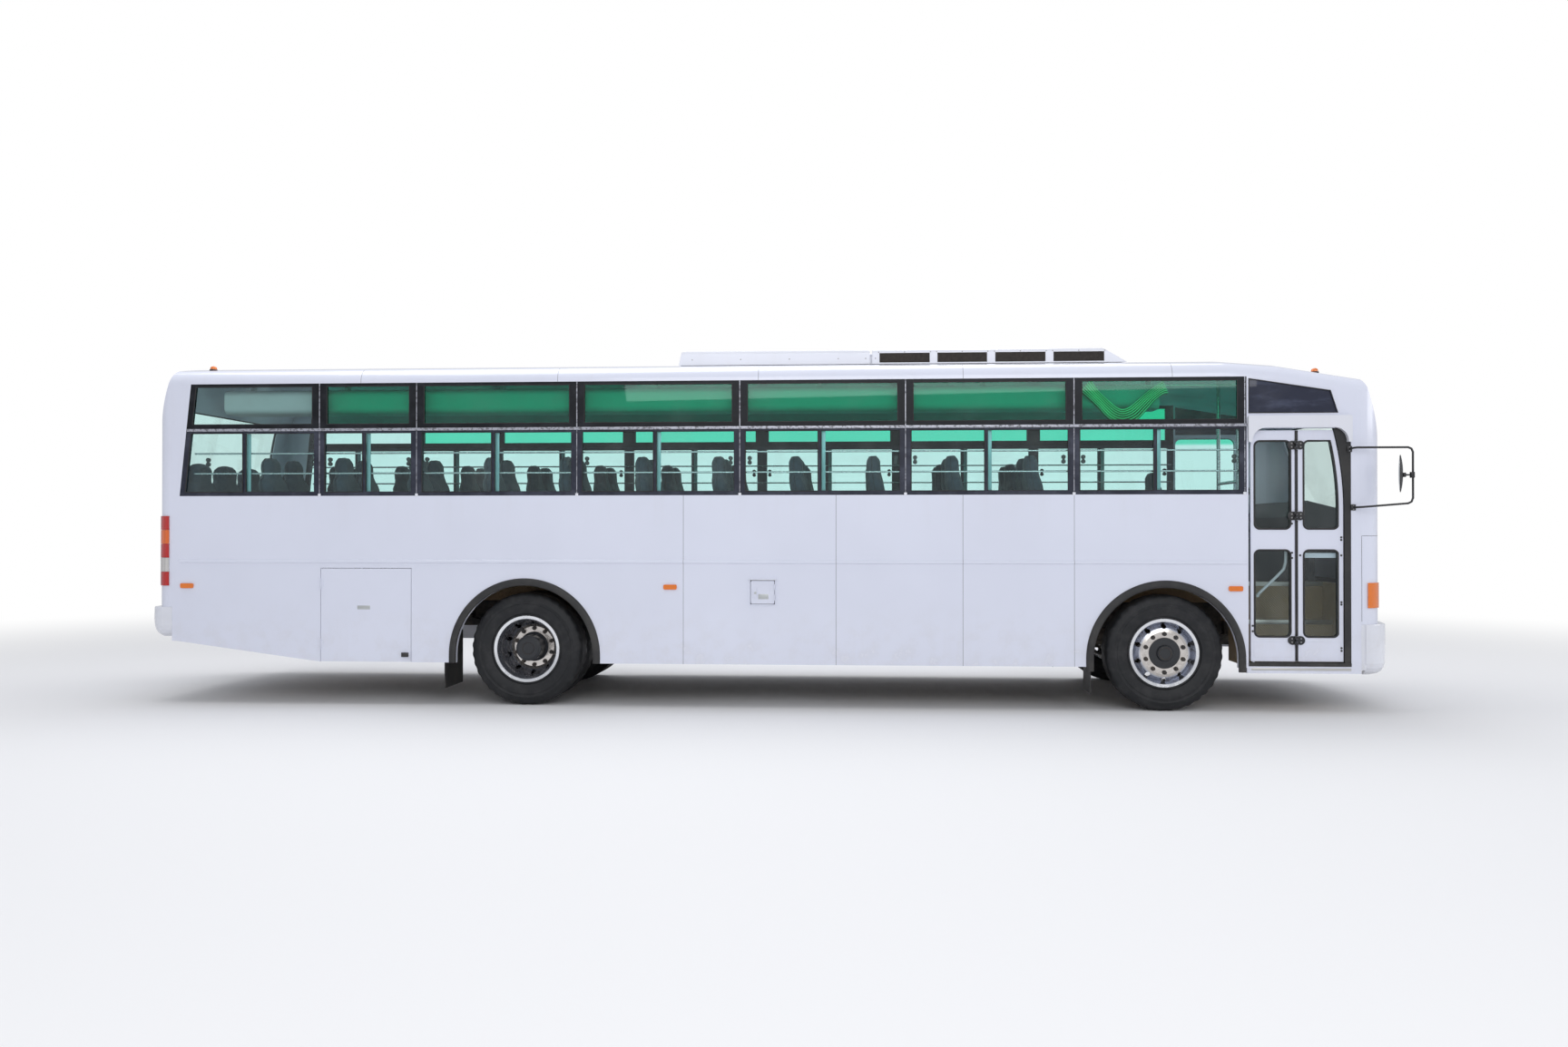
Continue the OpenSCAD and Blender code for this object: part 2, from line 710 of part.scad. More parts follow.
module side_right() {
  placed() color("white") difference() {
    union() {
      difference() {
        union() {
          from_side(-half_w, -wall_in) side_panel_2d();
          from_side(-half_w - 6, -half_w + 1) difference() {
            square_at([fuel_x0 - 23, fuel_z0 - 15], [fuel_x1 + 17, fuel_z1 + 33]);
            square_at([fuel_x0 - 9, fuel_z0 - 7], [fuel_x1 + 9, fuel_z1 + 8]);
          }
        }
        block([locker_x0 - seam_gap, -half_w - 1, 0], [locker_x1 + seam_gap, 0, locker_z1 + seam_gap]);
        block([fuel_x0 - seam_gap, -half_w - 10, fuel_z0 - seam_gap], [fuel_x1 + seam_gap, 0, fuel_z1 + seam_gap]);
      }
      belt_rib();
      for (z = locker_hinge_zs) {
        barrel(locker_hinge_x, z - 22, z, -1);
        barrel(locker_hinge_x, z + locker_barrel, z + locker_barrel + 22, -1);
        rod_z(locker_hinge_x, -hinge_y, z - 1, z + locker_barrel + 1, 2.5);
      }
      for (z = fuel_hinge_zs) {
        barrel(fuel_hinge_x, z - 12, z, 1);
        barrel(fuel_hinge_x, z + fuel_barrel, z + fuel_barrel + 12, 1);
        rod_z(fuel_hinge_x, -hinge_y, z - 1, z + fuel_barrel + 1, 2.5);
      }
    }
    panel_joints();
    block([front_panel_x - fit, -half_w - 20, 0], [side_x1 + 1, 0, sill_z + 1]);
  }
}
module side_right_front() {
  placed() color("white") difference() {
    union() {
      from_side(-half_w, -wall_in) side_panel_2d();
      belt_rib();
    }
    block([-rear_seam - 1, -half_w - 20, 0], [front_panel_x, 0, sill_z + 1]);
  }
}
module square_at(lo, hi) translate(lo) square(hi - lo);
module side_left() {
  placed() color("white") mirror([0, 1, 0]) difference() {
    union() {
      from_side(-half_w, -wall_in) side_panel_2d();
      belt_rib();
    }
    panel_joints();
  }
}

// Hinged flap of the locker, with its slam latch
module locker_flap() {
  placed() color("white") difference() {
    union() {
      block([locker_x0, -half_w, skirt_z + 3], [locker_x1, -half_w + 22, locker_z1]);
      for (z = locker_hinge_zs) {
        barrel(locker_hinge_x, z + 1, z + locker_barrel - 1, 1);
      }
      block([locker_x1 - 59, -half_w - 14, 427], [locker_x1 + 2, -half_w + 1, 476]);
    }
    for (z = locker_hinge_zs) {
      rod_z(locker_hinge_x, -hinge_y, z - 1, z + locker_barrel + 1, 2.6);
    }
    block([locker_x0 + 24, -half_w + 3, skirt_z + 27], [locker_x1 - 64, -half_w + 30, locker_z1 - 24]);
  }
}

// Hinged flap of the fuel filler with its paddle latch
module fuel_flap() {
  placed() color("white") difference() {
    union() {
      from_side(-half_w, -half_w + 15) rounded_2d([fuel_x0, fuel_z0], [fuel_x1, fuel_z1], 12);
      for (z = fuel_hinge_zs) {
        barrel(fuel_hinge_x, z + 1, z + fuel_barrel - 1, -1);
      }
      block([fuel_x0 + 21, -half_w - 8, 980], [fuel_x0 + 53, -half_w, 1064]);
    }
    for (z = fuel_hinge_zs) {
      rod_z(fuel_hinge_x, -hinge_y, z - 1, z + fuel_barrel + 1, 2.6);
    }
  }
}

// Edge between the roof and the sides: level, then falling over the door
fall = tan(9);
roof_edge_end = head_z - fall * (x_seam - side_x1);
front_skirt_z = 342;

// Frame of the entrance door: rear post, front post, sill and head
door_op = [wheelbase + door_x0, wheelbase + door_x1];
door_head_z = leaf_z1 + 18;
module front_side_plate_2d() {
  polygon([[side_x1, front_skirt_z], [x_seam, front_skirt_z], [x_seam, roof_edge_end], [side_x1, head_z]]);
}
quarter = [[x_band_end + 28, 2588], [x_band_end + 776, 2588], [x_band_end + 715, 2776], [x_band_end + 28, 2884]];
module door_surround() {
  placed() color("white") from_side(-half_w, -wall_in) difference() {
    front_side_plate_2d();
    square_at([door_op[0], entry_z - 32], [door_op[1], door_head_z]);
    polygon(quarter);
  }
}

// Panel beside the driver with a window
driver_win = [[wheelbase + 707, 1957], [wheelbase + 1333, 2548]];
module driver_side_panel() {
  placed() color("white") mirror([0, 1, 0]) {
    from_side(-half_w, -wall_in) difference() {
      front_side_plate_2d();
      rounded_2d(driver_win[0], driver_win[1], 70);
      polygon(quarter);
    }
    belt_front();
  }
}
module belt_front() {
  block([side_x1, -half_w - belt_out, belt_z + 7], [x_seam, -half_w + 1, belt_z + belt_h - 7]);
}

// Window frames: black pillars and rails between sill and roof
module band_2d() {
  polygon([[-rear_seam, sill_z], [side_x1, sill_z], [side_x1, head_z], [-rear_seam + rear_slant, head_z]]);
}
// Meeting stile of each bay from its rear pillar line
stile_share = [0.437, 0.459, 0.478, 0.48, 0.483, 0.48, 0.476];
function pane_x0(i, w) = bay_xs[i] + w / 2;
function pane_x1(i, w) = bay_xs[i + 1] - w / 2;
function stile_x(i) = bay_xs[i] + stile_share[min(i, 6)] * (bay_xs[i + 1] - bay_xs[i]);
function slant_x(z) = -rear_seam + rear_slant * (z - sill_z) / (head_z - sill_z);
function first_edge(i, x, z) = i == 0 ? slant_x(z) + 50 : x;
bays = len(bay_xs) - 1;
module upper_pane_2d(i, gap) {
  x1 = pane_x1(i, pillar_w) - gap;
  polygon([[first_edge(i, pane_x0(i, pillar_w), upper_z0) + gap, upper_z0 + gap], [x1, upper_z0 + gap],
           [x1, upper_z1 - gap], [first_edge(i, pane_x0(i, pillar_w), upper_z1) + gap, upper_z1 - gap]]);
}
module lower_pane_2d(i, gap) {
  x1 = pane_x1(i, pillar_low_w) - gap;
  polygon([[first_edge(i, pane_x0(i, pillar_low_w), lower_z0) + gap, lower_z0 + gap], [x1, lower_z0 + gap],
           [x1, lower_z1 - gap], [first_edge(i, pane_x0(i, pillar_low_w), lower_z1) + gap, lower_z1 - gap]]);
}
module frames_one_side() {
  from_side(-half_w, -half_w + frame_t) difference() {
    band_2d();
    for (i = [0:bays - 1]) {
      upper_pane_2d(i, 0);
      lower_pane_2d(i, 0);
    }
  }
  for (i = [0:bays - 1]) {
    block([stile_x(i) - stile_w / 2, -half_w + 6, lower_z0], [stile_x(i) + stile_w / 2, -half_w + 26, lower_z1]);
  }
  block([-rear_seam + rear_slant - 30, -half_w - 14, upper_z0 - 62], [side_x1, -half_w, upper_z0 - 40]);
}
module window_frames() placed() color("#202426") both_sides() frames_one_side();

// Fixed upper panes and pairs of sliding lower panes
module panes_one_side() {
  for (i = [0:bays - 1]) {
    from_side(-half_w + 12, -half_w + 12 + glass_t) upper_pane_2d(i, fit);
    from_side(-half_w + 10, -half_w + 10 + glass_t) intersection() {
      lower_pane_2d(i, fit);
      square_at([bay_xs[i] - 500, lower_z0], [stile_x(i) - stile_w / 2 - fit, lower_z1]);
    }
    from_side(-half_w + 18, -half_w + 18 + glass_t) intersection() {
      lower_pane_2d(i, fit);
      square_at([stile_x(i) + stile_w / 2 + fit, lower_z0], [bay_xs[i + 1], lower_z1]);
    }
  }
}
module side_glass() {
  placed() color("seagreen", 0.4) {
    both_sides() {
      panes_one_side();
      from_side(-half_w + 8, -half_w + 8 + glass_t) inset_poly(quarter, fit);
    }
    mirror([0, 1, 0]) from_side(-half_w + 8, -half_w + 8 + glass_t)
      rounded_2d(driver_win[0] + [fit, fit], driver_win[1] - [fit, fit], 70);
  }
}

// Whole body form moved in by d, and its shell
dome_tilts = [[520, 4.5], [960, 9.5]];
module section_tall_2d(d) {
  section_2d(d);
  translate([-half_w + d, -3000]) square([body_w - 2 * d, 3001]);
}
module front_form(d) {
  intersection() {
    front_body(d);
    translate([wheelbase + dome_tilts[0][0], 0, roof_z]) rotate([0, dome_tilts[0][1], 0])
      translate([-3000, 0, -roof_z]) rotate([90, 0, 90]) linear_extrude(6000) section_tall_2d(d);
    translate([wheelbase + dome_tilts[1][0], 0, roof_z - 32]) rotate([0, dome_tilts[1][1], 0])
      translate([-3000, 0, -roof_z]) rotate([90, 0, 90]) linear_extrude(6000) section_tall_2d(d);
  }
}
// Roof skin between the moulded front and rear ends
dome_x = wheelbase + 500;
tail_dome_x = -rear_seam + rear_slant;
module roof() {
  placed() color("white") from_behind(tail_dome_x, dome_x) intersection() {
    difference() {
      section_2d(0);
      section_2d(shell_t);
    }
    translate([-half_w, head_z]) square([body_w, roof_z]);
  }
}

// Front end: corner panels, screen frame and lower panel
mask_z0 = 765;
screen_lo = [-1040, 1560];
screen_hi = [1040, 2600];
slot_n = 5;
slot_w = 860;
slot_h = 26;
slot_z = 870;
slot_pitch = 52;
lamp_lo = [640, 850];
lamp_hi = [1080, 1030];
module front_mask() {
  placed() color("white") difference() {
    intersection() {
      difference() {
        front_form(0);
        front_form(shell_t);
      }
      from_side(-half_w, half_w) polygon([
        [x_seam, mask_z0], [x_front + 50, mask_z0], [x_front + 50, roof_z + 10], [dome_x, roof_z + 10],
        [dome_x, head_z], [side_x1, head_z], [x_seam, roof_edge_end]]);
    }
    from_behind(x_front - 500, x_front + 100) rounded_2d(screen_lo, screen_hi, 90);
    both_sides() from_behind(x_front - 300, x_front + 100) rounded_2d(lamp_lo, lamp_hi, 24);
    for (i = [0:slot_n - 1]) {
      from_behind(x_front - 300, x_front + 100)
        rounded_2d([-slot_w / 2, slot_z + i * slot_pitch], [slot_w / 2, slot_z + i * slot_pitch + slot_h], slot_h / 2);
    }
  }
}
module windscreen() {
  placed() color("lightcyan", 0.4) intersection() {
    difference() {
      front_form(10);
      front_form(16);
    }
    from_behind(x_front - 500, x_front + 100) rounded_2d(screen_lo + [fit, fit], screen_hi - [fit, fit], 90);
  }
}
module head_lamps() {
  placed() color("gainsboro") intersection() {
    from_above(lamp_lo.y - 50, lamp_hi.y + 50) difference() {
      plan_2d(4);
      plan_2d(60);
    }
    both_sides() from_behind(x_front - 300, x_front + 100) rounded_2d(lamp_lo + [fit, fit], lamp_hi - [fit, fit], 24);
  }
}

// Rear end with its window opening
rear_win_lo = [-930, 1930];
rear_win_hi = [930, 2700];
bumper_top = 877;
bumper_end_x = -rear_seam - 68;
module rear_end() {
  placed() color("white") difference() {
    intersection() {
      difference() {
        rear_body(0);
        rear_body(shell_t);
      }
      from_side(-half_w, half_w) polygon([
        [x_rear - 10, bumper_top], [bumper_end_x, bumper_top], [bumper_end_x, tail_skirt_z + 5],
        [-rear_seam, tail_skirt_z], [-rear_seam, sill_z],
        [-rear_seam + rear_slant, head_z], [-rear_seam + rear_slant, roof_z + 10], [x_rear - 10, roof_z + 10]]);
    }
    from_behind(x_rear - 50, -rear_seam) rounded_2d(rear_win_lo, rear_win_hi, 80);
  }
}
module rear_glass() {
  placed() color("lightcyan", 0.4) intersection() {
    difference() {
      rear_body(10);
      rear_body(16);
    }
    from_behind(x_rear - 50, -rear_seam) rounded_2d(rear_win_lo + [fit, fit], rear_win_hi - [fit, fit], 80);
  }
}

// Sweep a section, drawn as reach and height, round the front plan moved by dx
module round_front(dx, x0) {
  a = aim(bulge_c, corner_c);
  translate([bulge_c.x + dx, 0, 0]) rotate([0, 0, -a]) rotate_extrude(angle = 2 * a, $fn = 360)
    translate([front_bulge_r, 0]) children();
  both_sides() translate([corner_c.x + dx, corner_c.y, 0]) {
    rotate([0, 0, 90]) mirror([0, 1, 0]) rotate_extrude(angle = 90 - a) translate([front_corner_r, 0]) children();
    mirror([1, 0, 0]) from_behind(0, corner_c.x + dx - x0) translate([front_corner_r, 0]) children();
  }
}
module round_rear(dx, x1) {
  a = 180 - aim(tail_bulge_c, tail_c);
  translate([tail_bulge_c.x - dx, 0, 0]) rotate([0, 0, 180 - a]) rotate_extrude(angle = 2 * a, $fn = 720)
    translate([rear_bulge_r, 0]) children();
  both_sides() {
    translate([tail_c.x - dx, tail_c.y, 0]) rotate([0, 0, 90]) rotate_extrude(angle = 90 - a)
      translate([rear_corner_r, 0]) children();
    from_behind(tail_c.x - dx, x1) translate([half_w, 0]) children();
  }
}

// Wrap-round bumpers, curved in below, with a top ledge, brackets to the frame
// and a slot for the tow eye
bumper_z = 328;
bumper_t = 28;
bumper_tuck = 96;
rear_bumper_z = 605;
rear_bumper_t = 26;
bracket_z = 500;
bracket_h = 40;
bracket_y = 300;
ledge_t = 20;
module bumper_2d(z0, z1, t, ledge, tuck) {
  polygon([[-t, z1 - ledge_t], [-ledge, z1 - ledge_t], [-ledge, z1], [-3, z1], [0, z1 - 6],
           [2, z1 - 0.4 * (z1 - z0)], [-2, z0 + 100], [-12, z0 + 62], [-32, z0 + 30], [-60, z0 + 10],
           [-tuck, z0], [-tuck, z0 + t], [-60 - t / 3, z0 + 10 + t], [-40 - t / 2, z0 + 34 + t],
           [-16 - t, z0 + 72], [-4 - t, z0 + 106]]);
}
module tow_slot(x0, x1, z) {
  from_behind(x0, x1) rounded_2d([-110, z - 75], [110, z + 75], 20);
}
module front_bumper() {
  x0 = x_seam + 40;
  back_x = rail_x1 - 120;
  placed() color("white") difference() {
    union() {
      round_front(bumper_out, x0)
        bumper_2d(bumper_z, mask_z0 - fit, bumper_t, bumper_out + ledge_t, bumper_tuck);
      both_sides() {
        block([rail_x1, bracket_y, bracket_z], [x_front + bumper_out - bumper_t, bracket_y + 80, bracket_z + bracket_h]);
        block([back_x, rail_y - 50, bracket_z], [rail_x1, rail_y, rail_z - fit]);
        block([back_x, bracket_y, bracket_z], [rail_x1 + 10, rail_y, bracket_z + bracket_h]);
      }
    }
    tow_slot(x_front + bumper_out - 100, x_front + bumper_out + 10, tow_front_z);
  }
}
module rear_bumper() {
  x1 = bumper_end_x - fit;
  placed() color("white") difference() {
    union() {
      round_rear(rear_bumper_out, x1)
        bumper_2d(rear_bumper_z, bumper_top - fit, rear_bumper_t, rear_bumper_out + ledge_t, bumper_tuck - 20);
      both_sides() block([x_tail + rear_bumper_t - 8, rail_y - 70, 700], [rail_x0 - fit, rail_y - 10, 760]);
    }
    tow_slot(x_tail - 10, x_tail + 60, tow_rear_z);
  }
}

// Black rubber trims round the wheel arches: a half-round moulding
module trim_2d() {
  polygon([[-arch_w, 0], [-arch_w, arch_out * 0.55], [-arch_w + 5, arch_out * 0.8], [-arch_w + 14, arch_out * 0.95],
           [-arch_w + 24, arch_out], [-24, arch_out * 0.95], [-12, arch_out * 0.75], [-4, arch_out * 0.45], [0, arch_out * 0.15],
           [0, 0]]);
}
module arch_trim(x, r, z0) {
  translate([x, -half_w, arch_z]) rotate([90, 0, 0]) rotate_extrude(angle = 180, $fn = 180) translate([r, 0]) trim_2d();
  for (s = [0, 1]) {
    translate([x, -half_w, z0]) linear_extrude(arch_z - z0) mirror([s, 0]) mirror([0, 1]) translate([r, 0]) trim_2d();
  }
}
module arch_trims() {
  placed() color("#1c1c1e") both_sides() {
    arch_trim(0, rear_arch_r, skirt_z);
    arch_trim(wheelbase, arch_r, skirt_z - 38);
  }
}

// Mudflaps behind the wheels with their brackets
flap_t = 8;
module mudflaps() {
  placed() color("#1c1c1e") both_sides() {
    block([-740, 720, 150], [-740 + flap_t, wall_in - fit, 640]);
    block([-790, 720, 600], [-740, wall_in - 40, 640]);
    block([-760, 760, 640], [-730, 800, rail_top]);
    block([wheelbase - 640, 880, 150], [wheelbase - 640 + flap_t, wall_in - fit, 470]);
    block([wheelbase - 660, 880, 470], [wheelbase - 620, wall_in - fit, 500]);
    block([wheelbase - 660, 900, 500], [wheelbase - 630, 940, rail_top]);
  }
}

// Stacked tail lamps on the rear corners
tail_lamp_z = [1071, 1706];
tail_lamps_n = 5;
lens_out = 10;
module tail_lamps() {
  step = (tail_lamp_z[1] - tail_lamp_z[0]) / tail_lamps_n;
  placed() color("firebrick") both_sides() for (i = [0:tail_lamps_n - 1]) {
    from_above(tail_lamp_z[0] + i * step, tail_lamp_z[0] + (i + 1) * step - 2) intersection() {
      difference() {
        tail_plan_2d(-lens_out);
        tail_plan_2d(-fit);
      }
      square_at([x_rear - 50, 1090], [-rear_seam - 95, half_w + 2 * lens_out]);
    }
  }
}

// Amber side markers and front corner indicators
marker_xs = [-3115, 1316, wheelbase + 593];
module marker_lamps() {
  placed() color("orange") both_sides() {
    for (x = marker_xs) {
      from_side(-half_w - 14, -half_w) rounded_2d([x - 60, 1048], [x + 60, 1092], 12);
    }
    from_above(906, 1122) intersection() {
      difference() {
        plan_2d(-lens_out - 2);
        plan_2d(-fit);
      }
      square_at([x_seam + 60, -half_w - 2 * lens_out], [x_seam + 190, -half_w + 160]);
    }
  }
}

// Moulded rain canopy over the door
canopy_z1 = 2561;
canopy_out = 46;
module door_canopy() {
  x0 = side_x1 + 4;
  x1 = x_seam - 84;
  placed() color("white") from_side(-half_w - canopy_out, -half_w) difference() {
    rounded_2d([x0, 2332], [x1, canopy_z1], 14);
    rounded_2d([x0 + 32, 2000], [x1 - 32, 2457], 118);
  }
}

// A four-cornered pane pulled in by g
module inset_poly(p, g) {
  polygon([p[0] + [g, g], p[1] + [-2 * g, g], p[2] + [-2 * g, -2 * g], p[3] + [g, -2 * g]]);
}

// Air conditioner on the roof: two housings with side grilles, and fans in
// wells on the front one. The underside is flat in the middle and follows the
// fall of the roof on either side
ac_w = 1600;
ac_z1 = 3232;
ac_edge = 30;
ac_rear = [1304, 3088];
ac_front = [3111, 5442];
ac_rear_slope = 90;
ac_front_slope = 250;
ac_base = roof_z - 150;
grilles = [[3178, 3633], [3706, 4153], [4230, 4679], [4754, 5205]];
grille_z = [3112, 3196];
grille_depth = 8;
fan_n = 4;
fan_r = 205;
fan_pitch = 500;
fan_x0 = 3400;
fan_depth = 58;
fan_hub_r = 62;
seat_y = 560;
seat_slope = seat_y / sqrt(pow(crown_r + fit, 2) - pow(seat_y, 2));
seat_z = crown_c.y + sqrt(pow(crown_r + fit, 2) - pow(seat_y, 2));
function seat_at(y) = min(roof_z + fit, seat_z - (y - seat_y) * seat_slope);
module ac_section_2d(w, z1) {
  y = w / 2;
  flat_y = seat_y - (roof_z + fit - seat_z) / seat_slope;
  polygon([[-y, seat_at(y)], [-flat_y, roof_z + fit], [flat_y, roof_z + fit], [y, seat_at(y)], [y, z1 - ac_edge],
           [y - 0.3 * ac_edge, z1 - 0.3 * ac_edge], [y - ac_edge, z1], [ac_edge - y, z1],
           [0.3 * ac_edge - y, z1 - 0.3 * ac_edge], [-y, z1 - ac_edge]]);
}
module ac_unit() {
  placed() color("white") difference() {
    union() {
      intersection() {
        from_behind(ac_rear[0], ac_rear[1]) ac_section_2d(ac_w, ac_z1);
        from_side(-ac_w, ac_w) polygon([
          [ac_rear[0], ac_base], [ac_rear[0] + ac_rear_slope / 2, ac_z1 - 12], [ac_rear[0] + 2 * ac_rear_slope, ac_z1 + 24],
          [ac_rear[1] + 10, ac_z1 + 24], [ac_rear[1] + 10, ac_base]]);
      }
      from_behind(ac_rear[1] - 1, ac_front[0] + 1) ac_section_2d(ac_w - 60, ac_z1 - 30);
      intersection() {
        from_behind(ac_front[0], ac_front[1]) ac_section_2d(ac_w, ac_z1);
        from_side(-ac_w, ac_w) polygon([
          [ac_front[0] - 10, ac_base], [ac_front[0] - 10, ac_z1 + 30], [ac_front[1] - ac_front_slope - 50, ac_z1 + 30],
          [ac_front[1] - 12, roof_z - 60], [ac_front[1], ac_base]]);
      }
    }
    both_sides() for (g = grilles) {
      block([g[0], ac_w / 2 - grille_depth, grille_z[0]], [g[1], ac_w / 2 + 1, grille_z[1]]);
    }
    for (i = [0:fan_n - 1]) {
      difference() {
        rod_z(fan_x0 + i * fan_pitch, 0, ac_z1 - fan_depth, ac_z1 + 10, fan_r);
        rod_z(fan_x0 + i * fan_pitch, 0, ac_z1 - fan_depth - 1, ac_z1 - 14, fan_hub_r);
      }
    }
  }
}

// Rear-view mirrors on tube arms
arm_r = 9;
mirror_y = half_w + 80;
module stick(a, b, r) {
  v = b - a;
  translate(a) rotate([0, acos(v.z / norm(v)), atan2(v.y, v.x)]) cylinder(h = norm(v), r = r);
}
module bar(points, r) {
  for (i = [0:len(points) - 2]) {
    stick(points[i], points[i + 1], r);
  }
  for (i = [1:len(points) - 2]) {
    translate(points[i]) sphere(r * 1.2, $fn = 48);
  }
}
module mirrors() {
  xm = wheelbase + mirror_reach - 1.2 * arm_r;
  placed() color("#1c1c1e") both_sides() {
    bar([[x_seam - 100, -half_w - 6, 2272], [x_seam - 60, -mirror_y, 2280], [xm - 40, -mirror_y, 2280],
         [xm, -mirror_y, 2250], [xm, -mirror_y, 1850], [xm - 40, -mirror_y, 1803],
         [x_seam - 20, -mirror_y, 1772], [x_seam - 60, -half_w - 6, 1770]], arm_r);
    rod_x(xm - 120, xm, -mirror_y, 2045, 7);
    translate([xm - 145, -mirror_y, 2056]) rotate([90, 0, 90]) linear_extrude(34) {
      rounded_2d([-95, -158], [95, 158], 40);
    }
    for (z = [2272, 1770]) {
      block([x_seam - 100 + (z < 2000 ? 15 : -15), -half_w - 8, z - 26], [x_seam - 60 + (z < 2000 ? 15 : -15), -half_w, z + 26]);
    }
  }
}

// Guard rails inside the windows and the poles by the door
pole_r = 17;
pole_x = step_x0 - 52;
module interior_rails() {
  rail_in = half_w - frame_t - guard_d / 2 - fit;
  placed() color("lightgray") {
    both_sides() for (z = guard_zs) {
      rod_x(-rear_seam + 120, x_band_end - 20, rail_in, z, guard_d / 2);
    }
    rod_z(pole_x, -step_y - 15, floor_z, 3050, pole_r);
    rod_z(pole_x, -wall_in + 60, floor_z, 2960, pole_r);
    rod_y(pole_x, -wall_in + 60, -step_y - 15, floor_z + 900, 14);
  }
}

// Air ducts along the upper windows, hung from the ceiling
duct_y = 800;
duct_w = 330;
duct_z = 2640;
duct_h = 220;
hang_y = duct_y + 180;
function ceiling_z(y) = crown_c.y + sqrt(pow(crown_r - shell_t, 2) - y * y) - fit;
module ducts() {
  placed() color("whitesmoke") both_sides() {
    from_behind(tail_dome_x + 250, x_band_end - 700) rounded_2d([duct_y, duct_z], [duct_y + duct_w, duct_z + duct_h], 60);
    for (i = [0:bays - 1]) {
      block([bay_xs[i + 1] - 780, hang_y - 40, duct_z + duct_h + fit], [bay_xs[i + 1] - 740, hang_y, ceiling_z(hang_y)]);
    }
  }
}

// Seats: cushions and tall backs on pedestals
seat_pitch = 700;
row_x0 = -2450;
rows = 11;
seat_w = 440;
module seat(x, y) {
  translate([x, y, 0]) {
    block([60, -seat_w / 2, floor_z + 340], [490, seat_w / 2, floor_z + 450]);
    from_side(-seat_w / 2, seat_w / 2) polygon([[-20, floor_z + 460], [100, floor_z + 460], [20, 2262], [-90, 2262]]);
  }
}
module seat_legs(x) {
  block([x + 40, -1180, floor_z + 300], [x + 470, -270, floor_z + 340 - fit]);
  for (y = [-1100, -420]) {
    on_well = y < -well_y && abs(x + 230) < well_x;
    block([x + 200, y, floor_z + (on_well ? well_rise : 0)], [x + 260, y + 50, floor_z + 300 - fit]);
  }
  block([x + 10, -1180, floor_z + 300], [x + 40 - fit, -270, floor_z + 460 - fit]);
}
function row_x(i) = row_x0 + i * seat_pitch;
module seat_block(n) {
  for (i = [0:n - 1]) {
    for (y = [-955, -495]) {
      seat(row_x(i), y);
    }
    seat_legs(row_x(i));
  }
}
module passenger_seats() placed() color("slategray") both_sides() seat_block(rows);
module rear_bench() {
  x = x_rear + 180;
  placed() color("slategray") {
    block([x + 60, -1160, floor_z], [x + 480, 1160, floor_z + 340 - fit]);
    block([x + 60, -1160, floor_z + 340], [x + 530, 1160, floor_z + 450]);
    from_side(-1160, 1160) polygon([[x + 60, floor_z + 450 + fit], [x + 180, floor_z + 450 + fit], [x + 130, 2215], [x + 70, 2215]]);
  }
}
module driver_seat() {
  x = wheelbase + 330;
  y = 690;
  placed() color("slategray") {
    rod_z(x + 180, y, floor_z + well_rise, floor_z + 330, 75);
    block([x + 40, y - 240, floor_z + 330 + fit], [x + 520, y + 240, floor_z + 450]);
    from_side(y - 240, y + 240) polygon([[x + 20, floor_z + 450 + fit], [x + 140, floor_z + 450 + fit], [x + 60, floor_z + 1080], [x - 40, floor_z + 1080]]);
  }
}

// Dashboard with binnacle and the steering column
wheel_tilt = 30;
wheel_c = [wheelbase + 1150, 690, 1890];
column_l = 800;
module dashboard() {
  placed() color("#2c3038") difference() {
    union() {
      from_side(-400, wall_in - 80) polygon([
        [wheelbase + 1480, floor_z + 260], [wheelbase + 1420, 1700], [wheelbase + 1500, 1850],
        [x_front - 210, 1780], [x_front - 210, floor_z + 260]]);
      block([wheelbase + 1520, -380, floor_z], [wheelbase + 1580, 1000, floor_z + 270]);
      translate(wheel_c) rotate([0, -wheel_tilt, 0]) translate([0, 0, -column_l]) cylinder(h = column_l - 40, r = 28);
    }
    translate(wheel_c) rotate([0, -wheel_tilt, 0]) translate([0, 0, -110]) cylinder(h = 150, r = 12 + fit);
  }
}
module hand_wheel() {
  placed() color("#1c1c1e") translate(wheel_c) rotate([0, -wheel_tilt, 0]) {
    rotate_extrude() translate([225, 0]) circle(15);
    translate([0, 0, -38]) cylinder(h = 40, r = 45);
    translate([0, 0, -100]) cylinder(h = 70, r = 12);
    for (a = [90, 210, 330]) {
      rotate([0, 0, a]) translate([0, 0, -14]) rotate([0, 90, 0]) cylinder(h = 225, r = 10);
    }
  }
}

// Raised cover over the engine beside the driver
module engine_cover() {
  x0 = engine_x0 - 60;
  x1 = engine_x1 + 35;
  out_w = engine_w / 2 + 70;
  placed() color("#33373e") difference() {
    intersection() {
      from_behind(x0, x1) rounded_2d([-out_w, floor_z - 200], [out_w, engine_top + 110], 70);
      block([x0 - 1, -out_w - 1, floor_z], [x1 + 1, out_w + 1, engine_top + 200]);
    }
    from_behind(x0 + 25, x1 - 25) rounded_2d([-out_w + 30, floor_z - 200], [out_w - 30, engine_top + 80], 50);
  }
}

